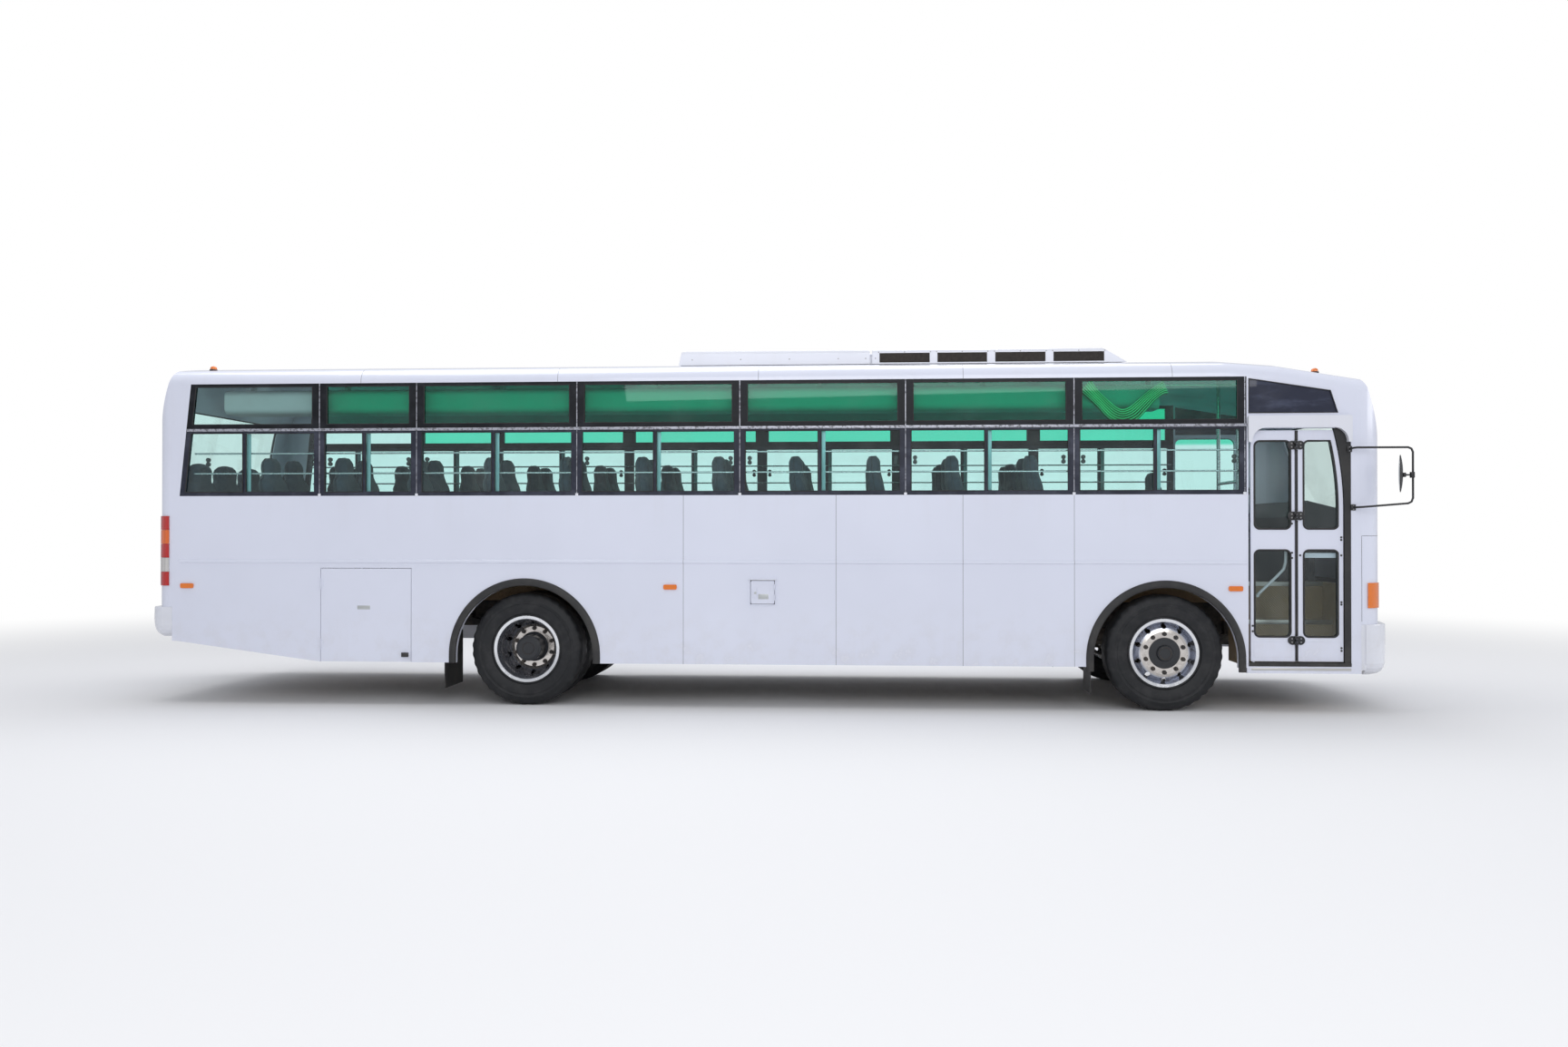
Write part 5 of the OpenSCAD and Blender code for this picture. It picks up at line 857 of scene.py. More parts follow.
amber = lens_finish("roof_amber", [(0.0, AMBER)], flute=0.006, axis="x")
roof_spots = [meet(node, (REAR_X + x, y, 4.0), (0, 0, -1))[0]
              for node, x in (("roof", -3.02), ("front_mask", 7.000)) for y in (0.98, -0.98)]
domes("roof_lamp_bases", [p - Vector((0, 0, 0.004)) for p in roof_spots], plastic_black,
      LAMP_BASE)
domes("roof_lamps", [p + Vector((0, 0, 0.005)) for p in roof_spots], amber, LAMP_DOME)


# Front end: two wipers parked on the windscreen, and a black grille with fine
# upright bars behind the five air slots.
WIPER_Y, WIPER_Z, WIPER_REACH, SCREEN_HALF = (-0.62, 0.22), 1.520, 0.60, 1.0
GRILLE_X, GRILLE_HALF, GRILLE_LOW, GRILLE_HIGH = REAR_X + 7.500, 0.47, 0.850, 1.120


def on_screen(y, z, out):
    """The point that lies a little way out from the windscreen."""
    point, normal = meet("windscreen", (8.0, y, z), (-1, 0, 0))
    return point + normal * out


arms, wiper_blades, pivots = [], [], []
for y0 in WIPER_Y:
    pivot, _ = meet("front_mask", (8.0, y0, WIPER_Z), (-1, 0, 0))
    pivots.append((pivot + Vector((0.006, 0, 0)), (1, 0, 0)))
    arms.append([pivot + Vector((0.012, 0, 0)), pivot + Vector((0.022, WIPER_REACH * 0.25, 0.035)),
                 on_screen(y0 + WIPER_REACH * 0.55, 1.640, 0.020),
                 on_screen(y0 + WIPER_REACH * 0.9, 1.700, 0.016)])
    along = [0.30 + 0.1 * k for k in range(13)]
    wiper_blades.append([on_screen(y0 + WIPER_REACH * s, 1.600 + 0.115 * s, 0.0065) for s in along
                         if abs(y0 + WIPER_REACH * s) < SCREEN_HALF])
tubes("wiper_arms", arms, 0.0065, plastic_black, sides=8)
tubes("wiper_blades", wiper_blades, 0.0055, rubber, sides=6)
studs("wiper_pivots", pivots, 0.020, 0.024, 20, plastic_black)
boxes("grille_panel", [((GRILLE_X, -GRILLE_HALF, GRILLE_LOW), (GRILLE_X + 0.008, GRILLE_HALF, GRILLE_HIGH))],
      mesh_dark, bevel=0.002)
bars = [[(GRILLE_X + 0.012, k * 0.012, z) for z in (GRILLE_LOW + 0.005, GRILLE_HIGH - 0.005)]
        for k in range(-38, 39)]
tubes("grille_bars", bars, 0.0022, mesh_dark, sides=4)


# Mirrors: a bent tube bracket on each front corner holds a lens-shaped black
# housing, clamped to it and turned in towards the driver. Its glass faces back.
ARM_R, MIRROR_Y, MIRROR_X, HEAD_Z = 0.009, 1.330, REAR_X + 7.6862, 2.056
SEAM, FOOT_Y, ARM_TOP, ARM_LOW = 7.287, 1.2600, 2.272, 1.770
TURN_IN, LENS_SIDES = math.radians(23.0), 48
LENS_HALF_W, LENS_HALF_H = 0.095, 0.158
LENS_RINGS = (0.18, 0.4, 0.6, 0.78, 0.9, 0.97, 1.0)
silvered = blended("silvered", lambda f: f.band(f.noise(14.0, 4.0), 0.5, 0.8), (0.80, 0.83, 0.85, 1.0),
                   (0.66, 0.68, 0.69, 1.0), rough=(0.02, 0.10), Metallic=1.0)


def lens_form(name, grow_by, back, front, finish):
    """Lens-shaped forms for both mirrors. Back and front are how far each face stands off, middle and rim."""
    levels = [(s, -back[1] - (back[0] - back[1]) * (1 - s ** 2.2)) for s in LENS_RINGS]
    levels += [(s, front[1] + (front[0] - front[1]) * (1 - s ** 2.2)) for s in reversed(LENS_RINGS)]
    verts, faces = [], []
    for side in (-1, 1):
        faces += lofted(len(verts), len(levels), LENS_SIDES)
        middle = Vector((MIRROR_X - 0.105, side * MIRROR_Y, HEAD_Z))
        rear = Vector((-math.cos(TURN_IN), -side * math.sin(TURN_IN), 0.0))
        across = Vector((-math.sin(TURN_IN), side * math.cos(TURN_IN), 0.0))
        for s, off in levels:
            for c, d in turned(1.0, LENS_SIDES, 0.5):
                u = (LENS_HALF_W + grow_by) * s * math.copysign(abs(c) ** 0.55, c)
                v = (LENS_HALF_H + grow_by) * s * math.copysign(abs(d) ** 0.55, d)
                verts.append(middle + across * u + Vector((0, 0, v)) - rear * off)
    smooth_piece(name, verts, faces, finish, 0.9, "body")


arms, holders, clamps, straps, foot_screws = [], [], [], [], []
seam_x = REAR_X + SEAM
for side in (-1, 1):
    y, foot, bend = side * MIRROR_Y, side * 1.252, side * 1.300
    arms.append([(seam_x - 0.100, foot, ARM_TOP), (seam_x - 0.075, bend, 2.279), (seam_x - 0.060, y, 2.280),
                 (MIRROR_X - 0.040, y, 2.280), (MIRROR_X - 0.012, y, 2.268), (MIRROR_X, y, 2.240),
                 (MIRROR_X, y, 1.850), (MIRROR_X - 0.012, y, 1.817), (MIRROR_X - 0.040, y, 1.803),
                 (seam_x - 0.020, y, 1.772), (seam_x - 0.045, bend, 1.771), (seam_x - 0.060, foot, ARM_LOW)])
    holders.append([(MIRROR_X - 0.094, y, 2.045), (MIRROR_X, y, 2.045)])
    clamps.append(((MIRROR_X - 0.022, y - 0.017, 2.020), (MIRROR_X + 0.0105, y + 0.017, 2.070)))
    clamps.append(((MIRROR_X - 0.082, y - 0.014, 2.026), (MIRROR_X - 0.060, y + 0.014, 2.064)))
    for x, z in ((SEAM - 0.115, ARM_TOP), (SEAM - 0.085, ARM_LOW)):
        straps.append(slab(side, x, x + 0.040, 1.2495, FOOT_Y, z - 0.026, z + 0.026))
        foot_screws += [((REAR_X + x + 0.020, side * FOOT_Y, z + dz), (0, side, 0)) for dz in (-0.016, 0.016)]
brackets = tubes("mirror_brackets", arms, ARM_R, plastic_black, sides=14)
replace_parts(brackets, "mirrors")
tubes("mirror_holders", holders, 0.007, plastic_black, sides=12)
boxes("mirror_clamps", clamps, plastic_black, bevel=0.004)
boxes("mirror_feet", straps, plastic_black, bevel=0.003)
studs("mirror_foot_screws", foot_screws, 0.005, 0.004, 12, bolt_steel)
lens_form("mirror_housings", 0.0, (0.012, 0.003), (0.022, 0.004), plastic_black)
lens_form("mirror_glasses", -0.009, (0.0138, 0.0050), (-0.0080, -0.0020), silvered)


# Front corners: a lamp hatch is cut into each, with a fine black seam, and a
# filler closes the strip between the side skin and the bumper's end.
hatch, fillers = [], []
for side in (-1, 1):
    line = [meet("front_mask", (seam_x + 0.006, side * 2.0, 0.790 + 0.046 * k), (0, -side, 0))[0]
            for k in range(17)]
    middle = Vector((seam_x + 0.006, side * 0.97, 1.526))
    for k in range(1, 15):
        a = math.radians(90.0 - k * 5.0)
        way = Vector((math.cos(a), side * math.sin(a), 0.0))
        line.append(meet("front_mask", middle + way * 2.0, -way)[0])
    hatch.append(line)
    fillers.append(slab(side, SEAM - 0.004, SEAM + 0.044, 1.2260, 1.2440, 0.372, 0.768))
tubes("hatch_seams", hatch, 0.0016, rubber, sides=6)
boxes("corner_fillers", fillers, moulded, bevel=0.001)


# Interior: steel poles and rails, grey moulded ducts, dark blue-grey seats
# and a dark driver's place with its dashboard, engine cover and hand wheel.
steel_bright = blended("steel_bright", lambda f: f.noise(40.0, 3.0), (0.60, 0.60, 0.61, 1.0),
                       (0.70, 0.70, 0.71, 1.0), rough=(0.15, 0.2), Metallic=1.0, Roughness=0.22)
dress(steel_bright, "interior_rails")
duct_grey = dusty("duct_grey", (0.50, 0.52, 0.52, 1.0), (0.36, 0.35, 0.33, 1.0), 0.2, Roughness=0.5)
dress(duct_grey, "ducts")
dash_black = dusty("dash_black", (0.030, 0.033, 0.040, 1.0), (0.20, 0.19, 0.17, 1.0), 0.25, grain=420.0,
                   Roughness=0.5)
dress(dash_black, "dashboard", "engine_cover")


def cloth(name, ground, fleck, weave):
    """Woven cover: crossing threads, flecks of a second yarn, worn paler in patches."""
    finish = Finish(name, Roughness=0.9, Sheen_Weight=0.25, Specular_IOR_Level=0.2)
    turns = 2.0 * math.pi / weave
    threads = (finish.x * turns + finish.z * turns).of("SINE") * (finish.y * turns).of("SINE")
    flecks = finish.band(finish.noise(260.0, 2.0), 0.55, 0.62)
    worn = finish.band(finish.noise(3.5, 5.0, 0.6), 0.45, 0.75)
    colour = finish.mix(flecks, ground, fleck)
    finish.set(Base_Color=finish.mix(worn * 0.35, colour, (0.16, 0.17, 0.19, 1.0)))
    finish.bump(threads, 0.0006, 0.7)
    return finish


seat_cloth = cloth("seat_cloth", (0.045, 0.060, 0.082, 1.0), (0.090, 0.115, 0.150, 1.0), 0.004)
dress(seat_cloth, "passenger_seats", "rear_bench", "driver_seat")


# Passenger seats: foam pads in woven cloth with piped edges, on a steel pan
# and two legs that are bolted to the floor. The pads are blown up by a cloth
# simulation, once for each kind, and copied to the eleven rows.
ROWS = [REAR_X - 2.450 + 0.700 * i for i in range(11)]
PLACES, SEAT_HALF, BACK_THICK = (0.495, 0.955), 0.205, 0.050
SEAT_Z, WELL_REACH, WELL_TOP, FLOOR_TOP = 1.4405, 0.62, 1.170, 1.100
RING, CORNER, PAD_PUFF, PAD_PRESSURE, PAD_FRAMES = 36, 2 / 4.5, 0.018, 4.0, 20


def superring(half_a, half_b):
    """Points of a rounded rectangle, evenly turned."""
    return [(half_a * math.copysign(abs(c) ** CORNER, c), half_b * math.copysign(abs(s) ** CORNER, s))
            for c, s in turned(1.0, RING, 0.5)]


def closed_loft(rings):
    """A closed mesh through rings of points; each end shrinks in three rings to one face."""
    ends = []
    for ring in (rings[0], rings[-1]):
        middle = sum(ring, Vector()) / RING
        ends.append([[middle + (p - middle) * s for p in ring] for s in (0.82, 0.58, 0.30)])
    whole = ends[0][::-1] + rings + ends[1]
    return [p for ring in whole for p in ring], lofted(0, len(whole), RING)


def plump(verts, faces, lowest):
    """Blow a closed pad up as cloth; no point moves more than PAD_PUFF or ends below lowest."""
    mesh = bpy.data.meshes.new("pad")
    mesh.from_pydata(verts, [], faces)
    work = bmesh.new()
    work.from_mesh(mesh)
    bmesh.ops.recalc_face_normals(work, faces=work.faces)
    work.to_mesh(mesh)
    work.free()
    pad = link(bpy.data.objects.new("pad", mesh))
    cover = pad.modifiers.new("cloth", "CLOTH")
    cover.settings.use_pressure = True
    cover.settings.uniform_pressure_force = PAD_PRESSURE
    cover.settings.effector_weights.gravity = 0.0
    cover.settings.quality = 6
    cover.point_cache.frame_start, cover.point_cache.frame_end = 1, PAD_FRAMES
    scene = bpy.context.scene
    for step in range(1, PAD_FRAMES + 1):
        scene.frame_set(step)
    shape = pad.evaluated_get(bpy.context.evaluated_depsgraph_get())
    blown = [v.co.copy() for v in shape.data.vertices]
    pad.modifiers.clear()
    bpy.data.objects.remove(pad)
    scene.frame_set(1)
    result = []
    for start, end in zip(verts, blown):
        move = end - start
        if move.length > PAD_PUFF:
            move = move * (PAD_PUFF / move.length)
        point = start + move
        point.z = max(point.z, lowest)
        result.append(point)
    return result


def back_rings(width, low, high, head=0.62):
    """Rings up a reclined back: (x, z) at its foot and top; it narrows to a rounded headrest."""
    rings = []
    for i in range(23):
        t = i / 22
        wide = width * (0.955 + 0.045 * math.sin(min(t / 0.62, 1.0) * math.pi * 0.5))
        neck = min(1.0, max(0.0, (t - 0.66) / 0.10))
        wide *= 1.0 - (1.0 - head) * neck * neck * (3 - 2 * neck)
        crown = max(0.0, (t - 0.86) / 0.14)
        wide *= math.sqrt(max(0.05, 1.0 - crown ** 3.0 * 0.72))
        deep = 1.0 + 0.10 * math.sin(t * math.pi) - 0.30 * crown ** 2
        deep *= BACK_THICK * (1.0 - 0.16 * neck * (1.0 - crown))
        x = low[0] + (high[0] - low[0]) * t + 0.010 * math.sin(t * math.pi * 2.0)
        z = low[1] + (high[1] - low[1]) * t
        rings.append([Vector((x + a, b, z)) for a, b in superring(deep, wide)])
    return rings


def cushion_rings(width, x0, x1, z0, z1):
    """Rings along a cushion from back to front, where it rolls down."""
    rings = []
    for i in range(17):
        t = i / 16
        drop = 0.030 * max(0.0, (t - 0.72) / 0.28) ** 2 + 0.012 * max(0.0, (0.12 - t) / 0.12)
        top = z1 - drop
        middle, tall = (z0 + top) / 2, (top - z0) / 2
        wide = width * (1.0 - 0.030 * abs(2 * t - 1) ** 3)
        rings.append([Vector((x0 + (x1 - x0) * t, a, middle + b)) for a, b in superring(wide, tall)])
    return rings


def piping(name, verts, rings, spots):
    """A cord sewn along both sides of a pad and over its end, on its widest line."""
    left, right = [], []
    for i in range(3, 3 + len(rings)):
        ring = verts[i * RING:(i + 1) * RING]
        left.append(min(ring, key=lambda p: p.y))
        right.append(max(ring, key=lambda p: p.y))
    path = left + right[::-1]
    tubes(name, [[p + Vector(s) for p in path] for s in spots], 0.0045, piped, sides=6)


def pads(name, rings, spots, cord=None, lowest=0.0):
    """The same pad on every spot, as one padded piece, and its piping where a cord is named."""
    verts, faces = closed_loft(rings)
    verts = plump(verts, faces, lowest)
    every, sides = [], []
    for spot in spots:
        sides += [tuple(len(every) + i for i in face) for face in faces]
        every += [v + Vector(spot) for v in verts]
    piece = smooth_piece(name, every, sides, seat_cloth, 1.2, "body")
    if cord:
        piping(cord, verts, rings, spots)
    return piece


piped = dusty("piped", (0.020, 0.026, 0.036, 1.0), (0.15, 0.15, 0.15, 1.0), 0.15, Roughness=0.6)
seat_steel = dusty("seat_steel", (0.055, 0.058, 0.064, 1.0), (0.25, 0.23, 0.20, 1.0), 0.25, Roughness=0.42)
spots = [(x, y, 0.0) for x in ROWS for y in (-PLACES[1], -PLACES[0], *PLACES)]
back = back_rings(SEAT_HALF, (0.040, 1.568), (-0.034, 2.252))
seat_backs = pads("seat_backs", back, spots, "seat_back_piping")
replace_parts(seat_backs, "passenger_seats")
cushion = cushion_rings(SEAT_HALF, 0.070, 0.482, 1.441, 1.540)
pads("seat_cushions", cushion, spots, "seat_cushion_piping", lowest=SEAT_Z)
pans, rods, feet = [], [], []
for x in ROWS:
    for side in (-1, 1):
        ys = sorted((side * 0.270, side * 1.180))
        pans.append(((x + 0.050, ys[0] + 0.02, 1.402), (x + 0.465, ys[1] - 0.01, 1.4402)))
        for reach in (0.395, 1.075):
            y = side * reach
            low = WELL_TOP if abs(x - REAR_X) < WELL_REACH and reach > 1.0 else FLOOR_TOP
            pans.append(((x + 0.205, y - 0.022, low + 0.006), (x + 0.255, y + 0.022, 1.404)))
            pans.append(((x + 0.165, y - 0.030, low), (x + 0.295, y + 0.030, low + 0.007)))
            feet += [((x + dx, y, low + 0.007), (0, 0, 1)) for dx in (0.182, 0.278)]
        for y in [side * place + dy for place in PLACES for dy in (-0.150, 0.150)]:
            rods.append([(x + 0.300, y, 1.424), (x + 0.040, y, 1.424), (x + 0.022, y, 1.446),
                         (x + 0.030, y, 1.640)])
boxes("seat_pans", pans, seat_steel, bevel=0.004)
tubes("seat_tubes", rods, 0.011, seat_steel, sides=8)
studs("seat_foot_bolts", feet, 0.009, 0.010, 6, bolt_steel)


# Rear bench: five foam pads in the same cloth, side by side across the whole
# cabin, on a boxed base of painted steel that stands on the floor.
BENCH_X, BENCH_HALF = REAR_X - 3.280, 0.216
bench_spots = [(BENCH_X, y, 0.0) for y in (-0.928, -0.464, 0.0, 0.464, 0.928)]
bench_back = back_rings(BENCH_HALF, (0.120, 1.568), (0.100, 2.205), head=0.80)
bench = pads("bench_backs", bench_back, bench_spots, "bench_back_piping")
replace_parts(bench, "rear_bench")
bench_cushion = cushion_rings(BENCH_HALF, 0.072, 0.522, 1.442, 1.540)
pads("bench_cushions", bench_cushion, bench_spots, lowest=SEAT_Z)
boxes("bench_base", [((BENCH_X + 0.065, -1.150, 1.101), (BENCH_X + 0.478, 1.150, 1.440)),
                     ((BENCH_X + 0.055, -1.155, 1.425), (BENCH_X + 0.486, 1.155, SEAT_Z))],
      seat_steel, bevel=0.005)


# Driver's seat: a wider foam pad and back in the same cloth, on a moulded
# frame and one thick column that is bolted to the floor.
DRIVER_X, DRIVER_Y = REAR_X + 5.970, 0.690
driver_spot = [(DRIVER_X, DRIVER_Y, 0.0)]
driver_back = back_rings(0.225, (0.080, 1.568), (0.012, 2.168), head=0.58)
driver = pads("driver_back", driver_back, driver_spot, "driver_back_piping")
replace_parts(driver, "driver_seat")
driver_cushion = cushion_rings(0.230, 0.050, 0.512, 1.436, 1.540)
pads("driver_cushion", driver_cushion, driver_spot, lowest=1.4345)
column = [[(DRIVER_X + 0.260, DRIVER_Y, z) for z in (1.101, 1.160, 1.400, 1.425)]]
tubes("driver_column", column, 0.070, dash_black, sides=28)
FRAME_PARTS = ((0.060, 0.490, 0.200, 1.404, 1.4345), (0.120, 0.400, 0.170, 1.101, 1.118),
               (0.030, 0.075, 0.060, 1.412, 1.620))  # x from, x to, half width, low, top
boxes("driver_seat_frame", [((DRIVER_X + x0, DRIVER_Y - half, low), (DRIVER_X + x1, DRIVER_Y + half, top))
                            for x0, x1, half, low, top in FRAME_PARTS],
      dash_black, bevel=0.006)


# Curtain: one green curtain is gathered and slung in a loop inside the
# foremost upper pane, tied at both ends to its rail.
CURTAIN_LONG, CURTAIN_WIDE, PLEATS, PLEAT_STEPS = 1.02, 0.66, 7, 16
CURTAIN_Y, PLEAT_DEPTH, CLOTH_THICK, RAIL_Z = -1.177, 0.026, 0.0009, 2.838
SLING = ((4.965, 2.842), (5.030, 2.770), (5.110, 2.690), (5.200, 2.602), (5.285, 2.566), (5.375, 2.592),
         (5.450, 2.660), (5.530, 2.740), (5.610, 2.800), (5.660, 2.822))
curtain_green = Finish("curtain_green", Roughness=0.85, Sheen_Weight=0.3, Specular_IOR_Level=0.2)
# The fold crests nearest the glass are painted light and the troughs painted shade, the colour is brightened,
# and a faint glow stands for painted light through the cloth.
painted_crest_light = curtain_green.band(curtain_green.y, -1.162, -1.196)
green = curtain_green.mix(painted_crest_light, (0.03, 0.14, 0.04, 1.0), (0.70, 0.95, 0.60, 1.0))
curtain_green.set(Base_Color=green, Emission_Color=green, Emission_Strength=0.10)
curtain_green.bump(curtain_green.noise(900.0, 2.0), 0.0002, 0.5)


def smoothed(points, steps):
    """A curve through flat points, with some steps from each to the next."""
    spots = [Vector(p) for p in points]
    curve = []
    for i in range(len(spots) - 1):
        a, b, c, d = (spots[min(max(j, 0), len(spots) - 1)] for j in range(i - 1, i + 3))
        for t in [k / steps for k in range(steps)]:
            bend = (2 * a - 5 * b + 4 * c - d) * t * t + (3 * b - a - 3 * c + d) * t ** 3
            curve.append(0.5 * (2 * b + (c - a) * t + bend))
    return curve + [spots[-1]]


curve = smoothed(SLING, 6)
verts, faces = [], []
across = PLEATS * PLEAT_STEPS
for i, point in enumerate(curve):
    t = i / (len(curve) - 1)
    ahead = (curve[min(i + 1, len(curve) - 1)] - curve[max(i - 1, 0)]).normalized()
    spread = 0.042 + 0.026 * math.sin(math.pi * t) ** 2
    spread += 0.030 * max(0.0, 1 - t / 0.25) ** 2 + 0.020 * max(0.0, (t - 0.75) / 0.25) ** 2
    for k in range(across + 1):
        s = k / across
        wave = math.sin(2 * math.pi * PLEATS * s + 0.9 * math.sin(3.0 * t + 5.0 * s))
        y = CURTAIN_Y + PLEAT_DEPTH * wave + 0.006 * math.sin(7.0 * s + 9.0 * t)
        off = (s - 0.5) * 2 * spread
        verts.append((REAR_X + point.x - ahead.y * off, y, point.y + ahead.x * off))
for i in range(len(curve) - 1):
    for k in range(across):
        a = i * (across + 1) + k
        faces.append((a, a + 1, a + across + 2, a + across + 1))
mesh = bpy.data.meshes.new("curtain")
mesh.from_pydata(verts, [], faces)
mesh.materials.append(curtain_green.material)
for polygon in mesh.polygons:
    polygon.use_smooth = True
curtain = link(bpy.data.objects.new("curtain", mesh))
thick = curtain.modifiers.new("thick", "SOLIDIFY")
thick.thickness, thick.offset = CLOTH_THICK, 0.0
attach(curtain, "body")
rail = [(REAR_X + x, y, RAIL_Z)
        for x, y in ((4.925, -1.214), (4.935, -1.190), (6.262, -1.190), (6.272, -1.214))]
tubes("curtain_rail", [rail], 0.005, steel_bright)


# Entrance door: two steel leaves hinged to each other on three outside plates,
# each with two panes in rubber, a rubber seal between the leaves, screws along
# the front edge and a steel grab rail inside the rear leaf.
HINGE_X, PIN_Y, LEAF_Y, LEAF_IN_Y = REAR_X + 6.749, -1.255, -1.232, -1.202
HINGE_Z, LOBE_R, LOBE_SIDES, HINGE_GAP = (0.625, 1.698, 2.308), 0.037, 44, 0.014
DOOR_LOW, DOOR_TOP, OUT = 0.446, 2.434, (0.0, -1.0, 0.0)
FRONT_DOTS = (0.537, 0.561, 0.935, 0.955, 1.358, 1.491, 1.513)
SCREW_DOTS = {"front": [(7.128, z) for z in FRONT_DOTS] + [(6.783, 1.358)],
              "rear": [(6.714, 1.631), (6.714, 1.380), (6.714, 1.335), (6.3815, 0.702), (6.3815, 0.749)]}
BEADS, BEAD_Z = {"door_rear": (6.392, 6.712), "door_front": (6.788, 7.122)}, (0.478, 0.612)
GRAB = ((6.683, 0.0, 1.520), (6.683, 0.026, 1.512), (6.681, 0.030, 1.300), (6.664, 0.030, 1.235),
        (6.600, 0.030, 1.168), (6.462, 0.030, 1.034), (6.440, 0.026, 1.012), (6.434, 0.0, 1.006))
for leaf in ("rear", "front"):
    gaskets("door_gaskets_" + leaf, "door_glass_" + leaf, OUT, 0.0130, 0.0085, "door_" + leaf)
    gaskets("door_inner_gaskets_" + leaf, "door_glass_" + leaf, OUT, -0.0190, 0.007, "door_" + leaf)
seal = [((HINGE_X - 0.008, LEAF_Y + 0.001, DOOR_LOW), (HINGE_X + 0.008, LEAF_IN_Y - 0.001, DOOR_TOP))]
gaps = [DOOR_LOW] + [z + dz for z in HINGE_Z for dz in (-0.039, 0.039)] + [DOOR_TOP]
seal += [((HINGE_X - 0.002, LEAF_Y - 0.004, low), (HINGE_X + 0.016, LEAF_Y + 0.003, top))
         for low, top in zip(gaps[::2], gaps[1::2])]
boxes("door_centre_seal", seal, rubber, body="door_front", bevel=0.002)
hinge_black = dusty("hinge_black", (0.030, 0.032, 0.036, 1.0), SAND, 0.12, Roughness=0.38, Metallic=0.4)
knuckles = {"door_rear": ((-LOBE_R, -0.0135), (0.0135, LOBE_R)), "door_front": ((-0.0112, 0.0112),)}
for body, sign in (("door_rear", -1), ("door_front", 1)):
    verts, faces, straps = [], [], []
    for z in HINGE_Z:
        faces += lofted(len(verts), 2, LOBE_SIDES)
        for y in (LEAF_Y - 0.0098, LEAF_Y + 0.0012):
            for u, v in turned(LOBE_R + 0.0008, LOBE_SIDES, 0.5):
                verts.append((HINGE_X + sign * max(HINGE_GAP + 0.020 + u, 0.0016), y, z + v))
        xs = sorted((HINGE_X + sign * 0.0034, HINGE_X + sign * 0.0212))
        straps += [((xs[0], PIN_Y - 0.0056, z + lo - 0.0003), (xs[1], LEAF_Y - 0.0072, z + hi + 0.0003))
                   for lo, hi in knuckles[body]]
    edged(mesh_piece("hinge_lobes_" + body, verts, faces, hinge_black), body, 0.0012)
    boxes("hinge_straps_" + body, straps, hinge_black, body, bevel=0.001)
    screws = [((HINGE_X + sign * (HINGE_GAP + 0.024), LEAF_Y - 0.0103, z + dz), OUT)
              for z in HINGE_Z for dz in (-0.015, 0.015)]
    studs("hinge_screws_" + body, screws, 0.0065, 0.004, 14, bolt_steel, body)
for body, spans in knuckles.items():
    barrels = [[(HINGE_X, PIN_Y, z + lo), (HINGE_X, PIN_Y, z + hi)] for z in HINGE_Z for lo, hi in spans]
    tubes("hinge_barrels_" + body, barrels, 0.0106, hinge_black, body, sides=24)
for leaf, dots in SCREW_DOTS.items():
    studs("leaf_screws_" + leaf, [((REAR_X + x, LEAF_Y - 0.0005, z), OUT) for x, z in dots],
          0.009, 0.006, 16, hinge_black, "door_" + leaf)
for body, (x0, x1) in BEADS.items():
    low, top = BEAD_Z
    bead = [(REAR_X + x, LEAF_Y - 0.0002, z) for x, z in ((x0, low), (x1, low), (x1, top), (x0, top))]
    tubes("panel_bead_" + body, [bead], 0.0016, enamel_plain, body, sides=6, closed=True)
rail_paint = dusty("rail_paint", (0.50, 0.53, 0.58, 1.0), SAND, 0.1, Roughness=0.35)
tubes("door_grab_rail", [[(REAR_X + x, LEAF_IN_Y - 0.001 + d, z) for x, d, z in GRAB]], 0.0125, rail_paint,
      "door_rear", sides=14)
boxes("pane_liner", [((REAR_X + 6.792, LEAF_IN_Y + 0.001, 1.336),
                      (REAR_X + 7.118, LEAF_IN_Y + 0.006, 1.378))],
      enamel_plain, body="door_front", bevel=0.001)
boxes("door_sill_strip", [slab(-1, 6.365, 7.203, 1.2440, 1.2525, 0.3660, 0.3880)], nosing_metal, bevel=0.0015)


# Wheels: drilled steel discs with a polished rim, a bright ring under ten nuts
# and a dark hub, dished opposite ways in front and at the rear, and rubber
# tyres on a steel belt with four grooves and notched shoulders.
TYRE_HALF, NUT_R, NUTS, CAP_R = 0.1395, 0.1675, 10, 0.052
FRONT_MID_Y, REAR_MID_Y, INNER_MID_Y = 1.0795, 1.0505, 0.7305
RINGS_ROUND = 144


def wheel_metal(name, hub_x):
    """Polished rim, blue-grey dish, bright bolted ring and black hub, by distance from the hub's centre."""
    finish = Finish(name, Metallic=0.9, Roughness=0.2)
    dx, dz = finish.x - hub_x, finish.z - HUB_Z
    r = (dx * dx + dz * dz) ** 0.5
    spun = finish.noise(1.0, 3.0, 0.6, finish.add("CombineXYZ", inputs={0: r * 240.0, 1: 0.0, 2: 0.0}))
    grime = finish.band(finish.noise(16.0, 5.0, 0.65), 0.46, 0.72)
    dish = finish.mix(grime * 0.5, (0.50, 0.52, 0.58, 1.0), (0.24, 0.22, 0.20, 1.0))
    ring = finish.mix(grime * 0.35, (0.68, 0.64, 0.60, 1.0), (0.36, 0.31, 0.26, 1.0))
    colour = finish.mix(finish.band(r, 0.204, 0.210), ring, dish)
    colour = finish.mix(finish.band(r, 0.268, 0.278), colour, (0.78, 0.79, 0.81, 1.0))
    hub = finish.band(r, 0.1335, 0.1365, 1.0, 0.0)
    colour = finish.mix(hub, colour, (0.020, 0.022, 0.026, 1.0))
    finish.set(Base_Color=colour, Metallic=hub * -0.9 + 0.9)
    finish.set(Roughness=spun * 0.12 + grime * 0.2 + hub * 0.2 + 0.12)
    finish.bump(spun, 0.0003, 0.4)
    return finish


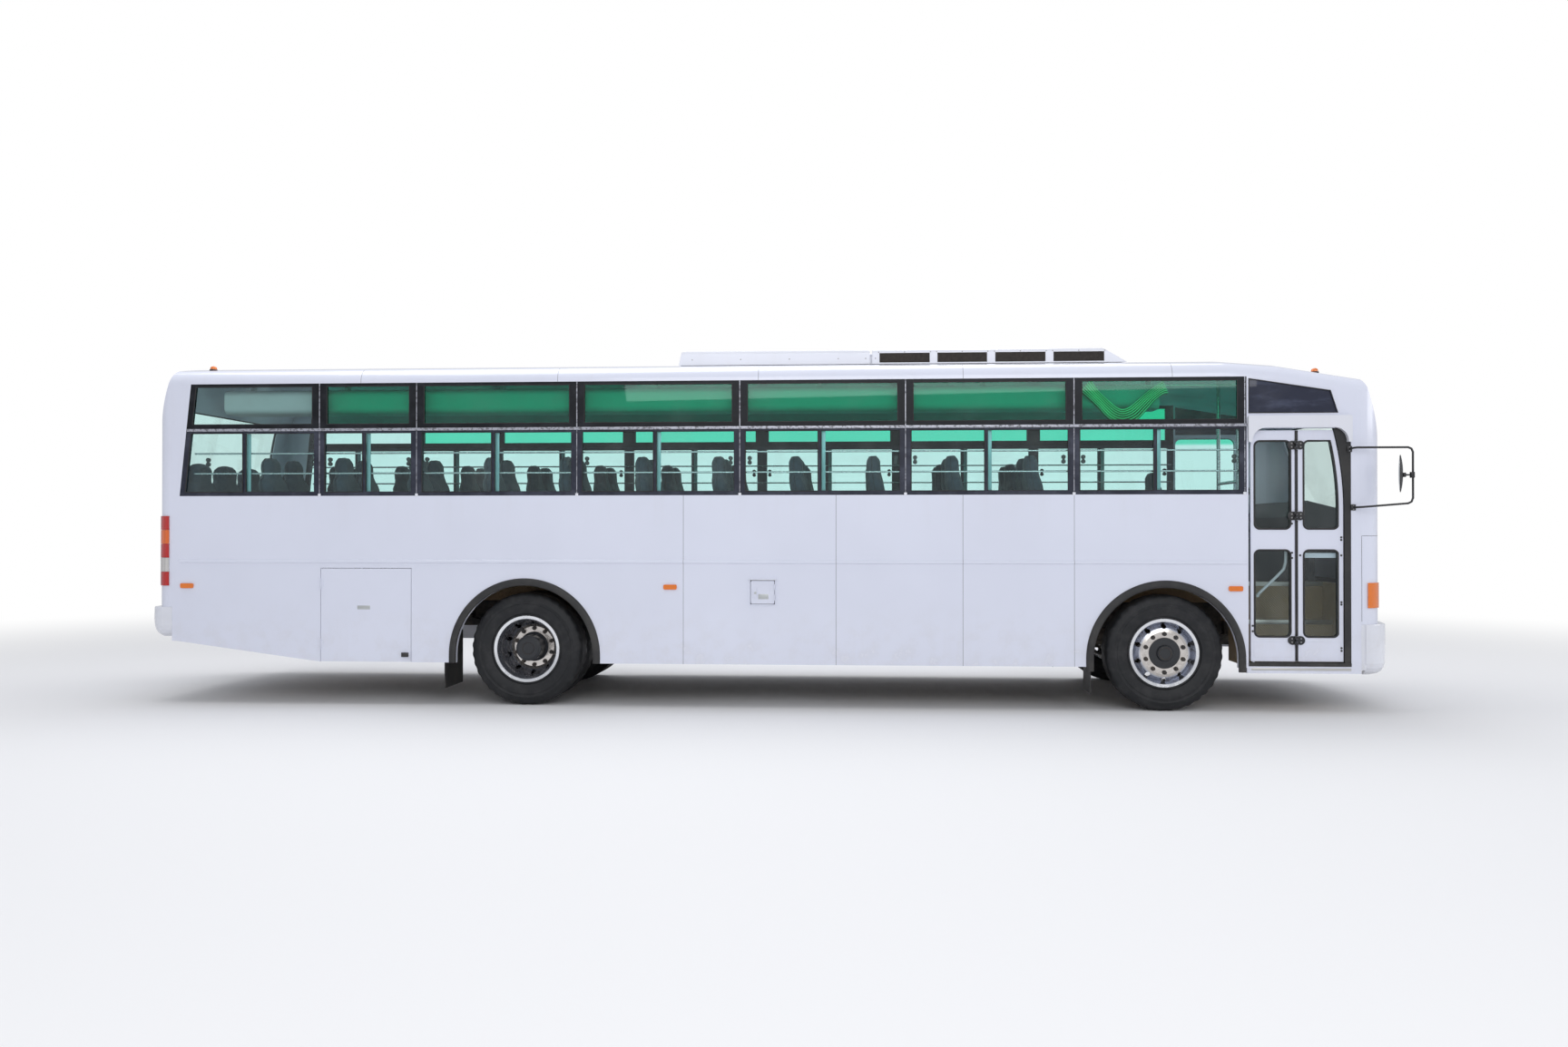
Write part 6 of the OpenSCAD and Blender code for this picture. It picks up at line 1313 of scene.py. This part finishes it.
dress(wheel_metal("wheel_metal_front", FRONT_X), "rim_front_right", "rim_front_left")
dress(wheel_metal("wheel_metal_rear", REAR_X), "rims_rear_right", "rims_rear_left")

tyre_black = Finish("tyre_black", Roughness=0.62, Specular_IOR_Level=0.35)
worn = tyre_black.band(tyre_black.noise(9.0, 5.0, 0.6), 0.42, 0.75)
tyre_black.set(Base_Color=tyre_black.mix(worn, (0.012, 0.013, 0.015, 1.0), (0.034, 0.034, 0.036, 1.0)))
tyre_black.set(Roughness=worn * 0.2 + 0.52)
tyre_black.bump(tyre_black.noise(260.0, 3.0), 0.0004, 0.6)

# The tyre's section from bead to bead: radius, place across, and how deep a
# notch cuts there on every other block
SECTION = [(0.2862, -0.72, 0), (0.300, -0.80, 0), (0.312, -0.825, 0), (0.318, -0.80, 0), (0.322, -0.86, 0),
           (0.360, -0.95, 0), (0.386, -0.995, 0), (0.405, -0.998, 0), (0.408, -0.975, 0), (0.430, -0.975, 0),
           (0.433, -0.99, 0), (0.445, -0.965, 0), (0.470, -0.91, 0), (0.486, -0.86, 4), (0.496, -0.80, 6),
           (0.5035, -0.68, 6), (0.505, -0.60, 4), (0.505, -0.46, 0), (0.494, -0.45, 0), (0.494, -0.39, 0),
           (0.505, -0.38, 0), (0.505, -0.17, 0), (0.494, -0.16, 0), (0.494, -0.10, 0), (0.505, -0.09, 0)]
SECTION += [(r, -w, n) for r, w, n in reversed(SECTION)]


def tyres(name, hub_x, middles, node, body):
    """One tyre on each middle, as one piece in place of a node."""
    verts, faces = [], []
    closed = SECTION + [(0.2861, 0.60, 0), (0.2861, -0.60, 0)]
    count = len(closed)
    for mid in middles:
        first = len(verts)
        for k in range(RINGS_ROUND):
            turn = 2 * math.pi * k / RINGS_ROUND
            for r, w, notch in closed:
                r -= notch * 0.001 if k % 4 < 2 else 0.0
                verts.append((hub_x + r * math.cos(turn), mid + w * TYRE_HALF, HUB_Z + r * math.sin(turn)))
        for k in range(RINGS_ROUND):
            here, there = first + k * count, first + (k + 1) % RINGS_ROUND * count
            for i in range(count):
                after = (i + 1) % count
                faces.append((here + i, here + after, there + after, there + i))
    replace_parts(smooth_piece(name, verts, faces, tyre_black, 0.7, body), node)


nut_steel = dusty("nut_steel", (0.060, 0.058, 0.058, 1.0), (0.20, 0.14, 0.09, 1.0), 0.35, Roughness=0.42,
                  Metallic=0.8)
STUDS = (("washers", 0.0, 0.0195, 0.010, 20), ("nuts", 0.015, 0.0165, 0.030, 6),
         ("bolt_ends", 0.034, 0.010, 0.012, 12))
AXLES = (("front", "", FRONT_X, (FRONT_MID_Y,)), ("rear", "s", REAR_X, (REAR_MID_Y, INNER_MID_Y)))
for axle, plural, hub_x, middles in AXLES:
    for hand, side in (("right", -1), ("left", 1)):
        place = axle + "_" + hand
        rim, body = "rim" + plural + "_" + place, "wheel" + plural + "_" + place
        node = "tyre" + plural + "_" + place
        tyres("grooved_tyres_" + place, hub_x, [side * mid for mid in middles], node, body)
        seats = []
        for u, v in turned(NUT_R, NUTS, 0.5):
            seats.append(meet(rim, (hub_x + u, side * 1.6, HUB_Z + v), (0, -side, 0))[0])
        for part, out, radius, height, sides in STUDS:
            heads = [(p + Vector((0, side * out, 0)), (0, side, 0)) for p in seats]
            studs("wheel_" + part + "_" + place, heads, radius, height, sides, nut_steel, body)
        cap, _ = meet(rim, (hub_x, side * 1.6, HUB_Z), (0, -side, 0))
        bead = [cap + Vector((u, side * 0.001, v)) for u, v in turned(CAP_R, 32)]
        tubes("hub_cap_bead_" + place, [bead], 0.003, nut_steel, body, closed=True)
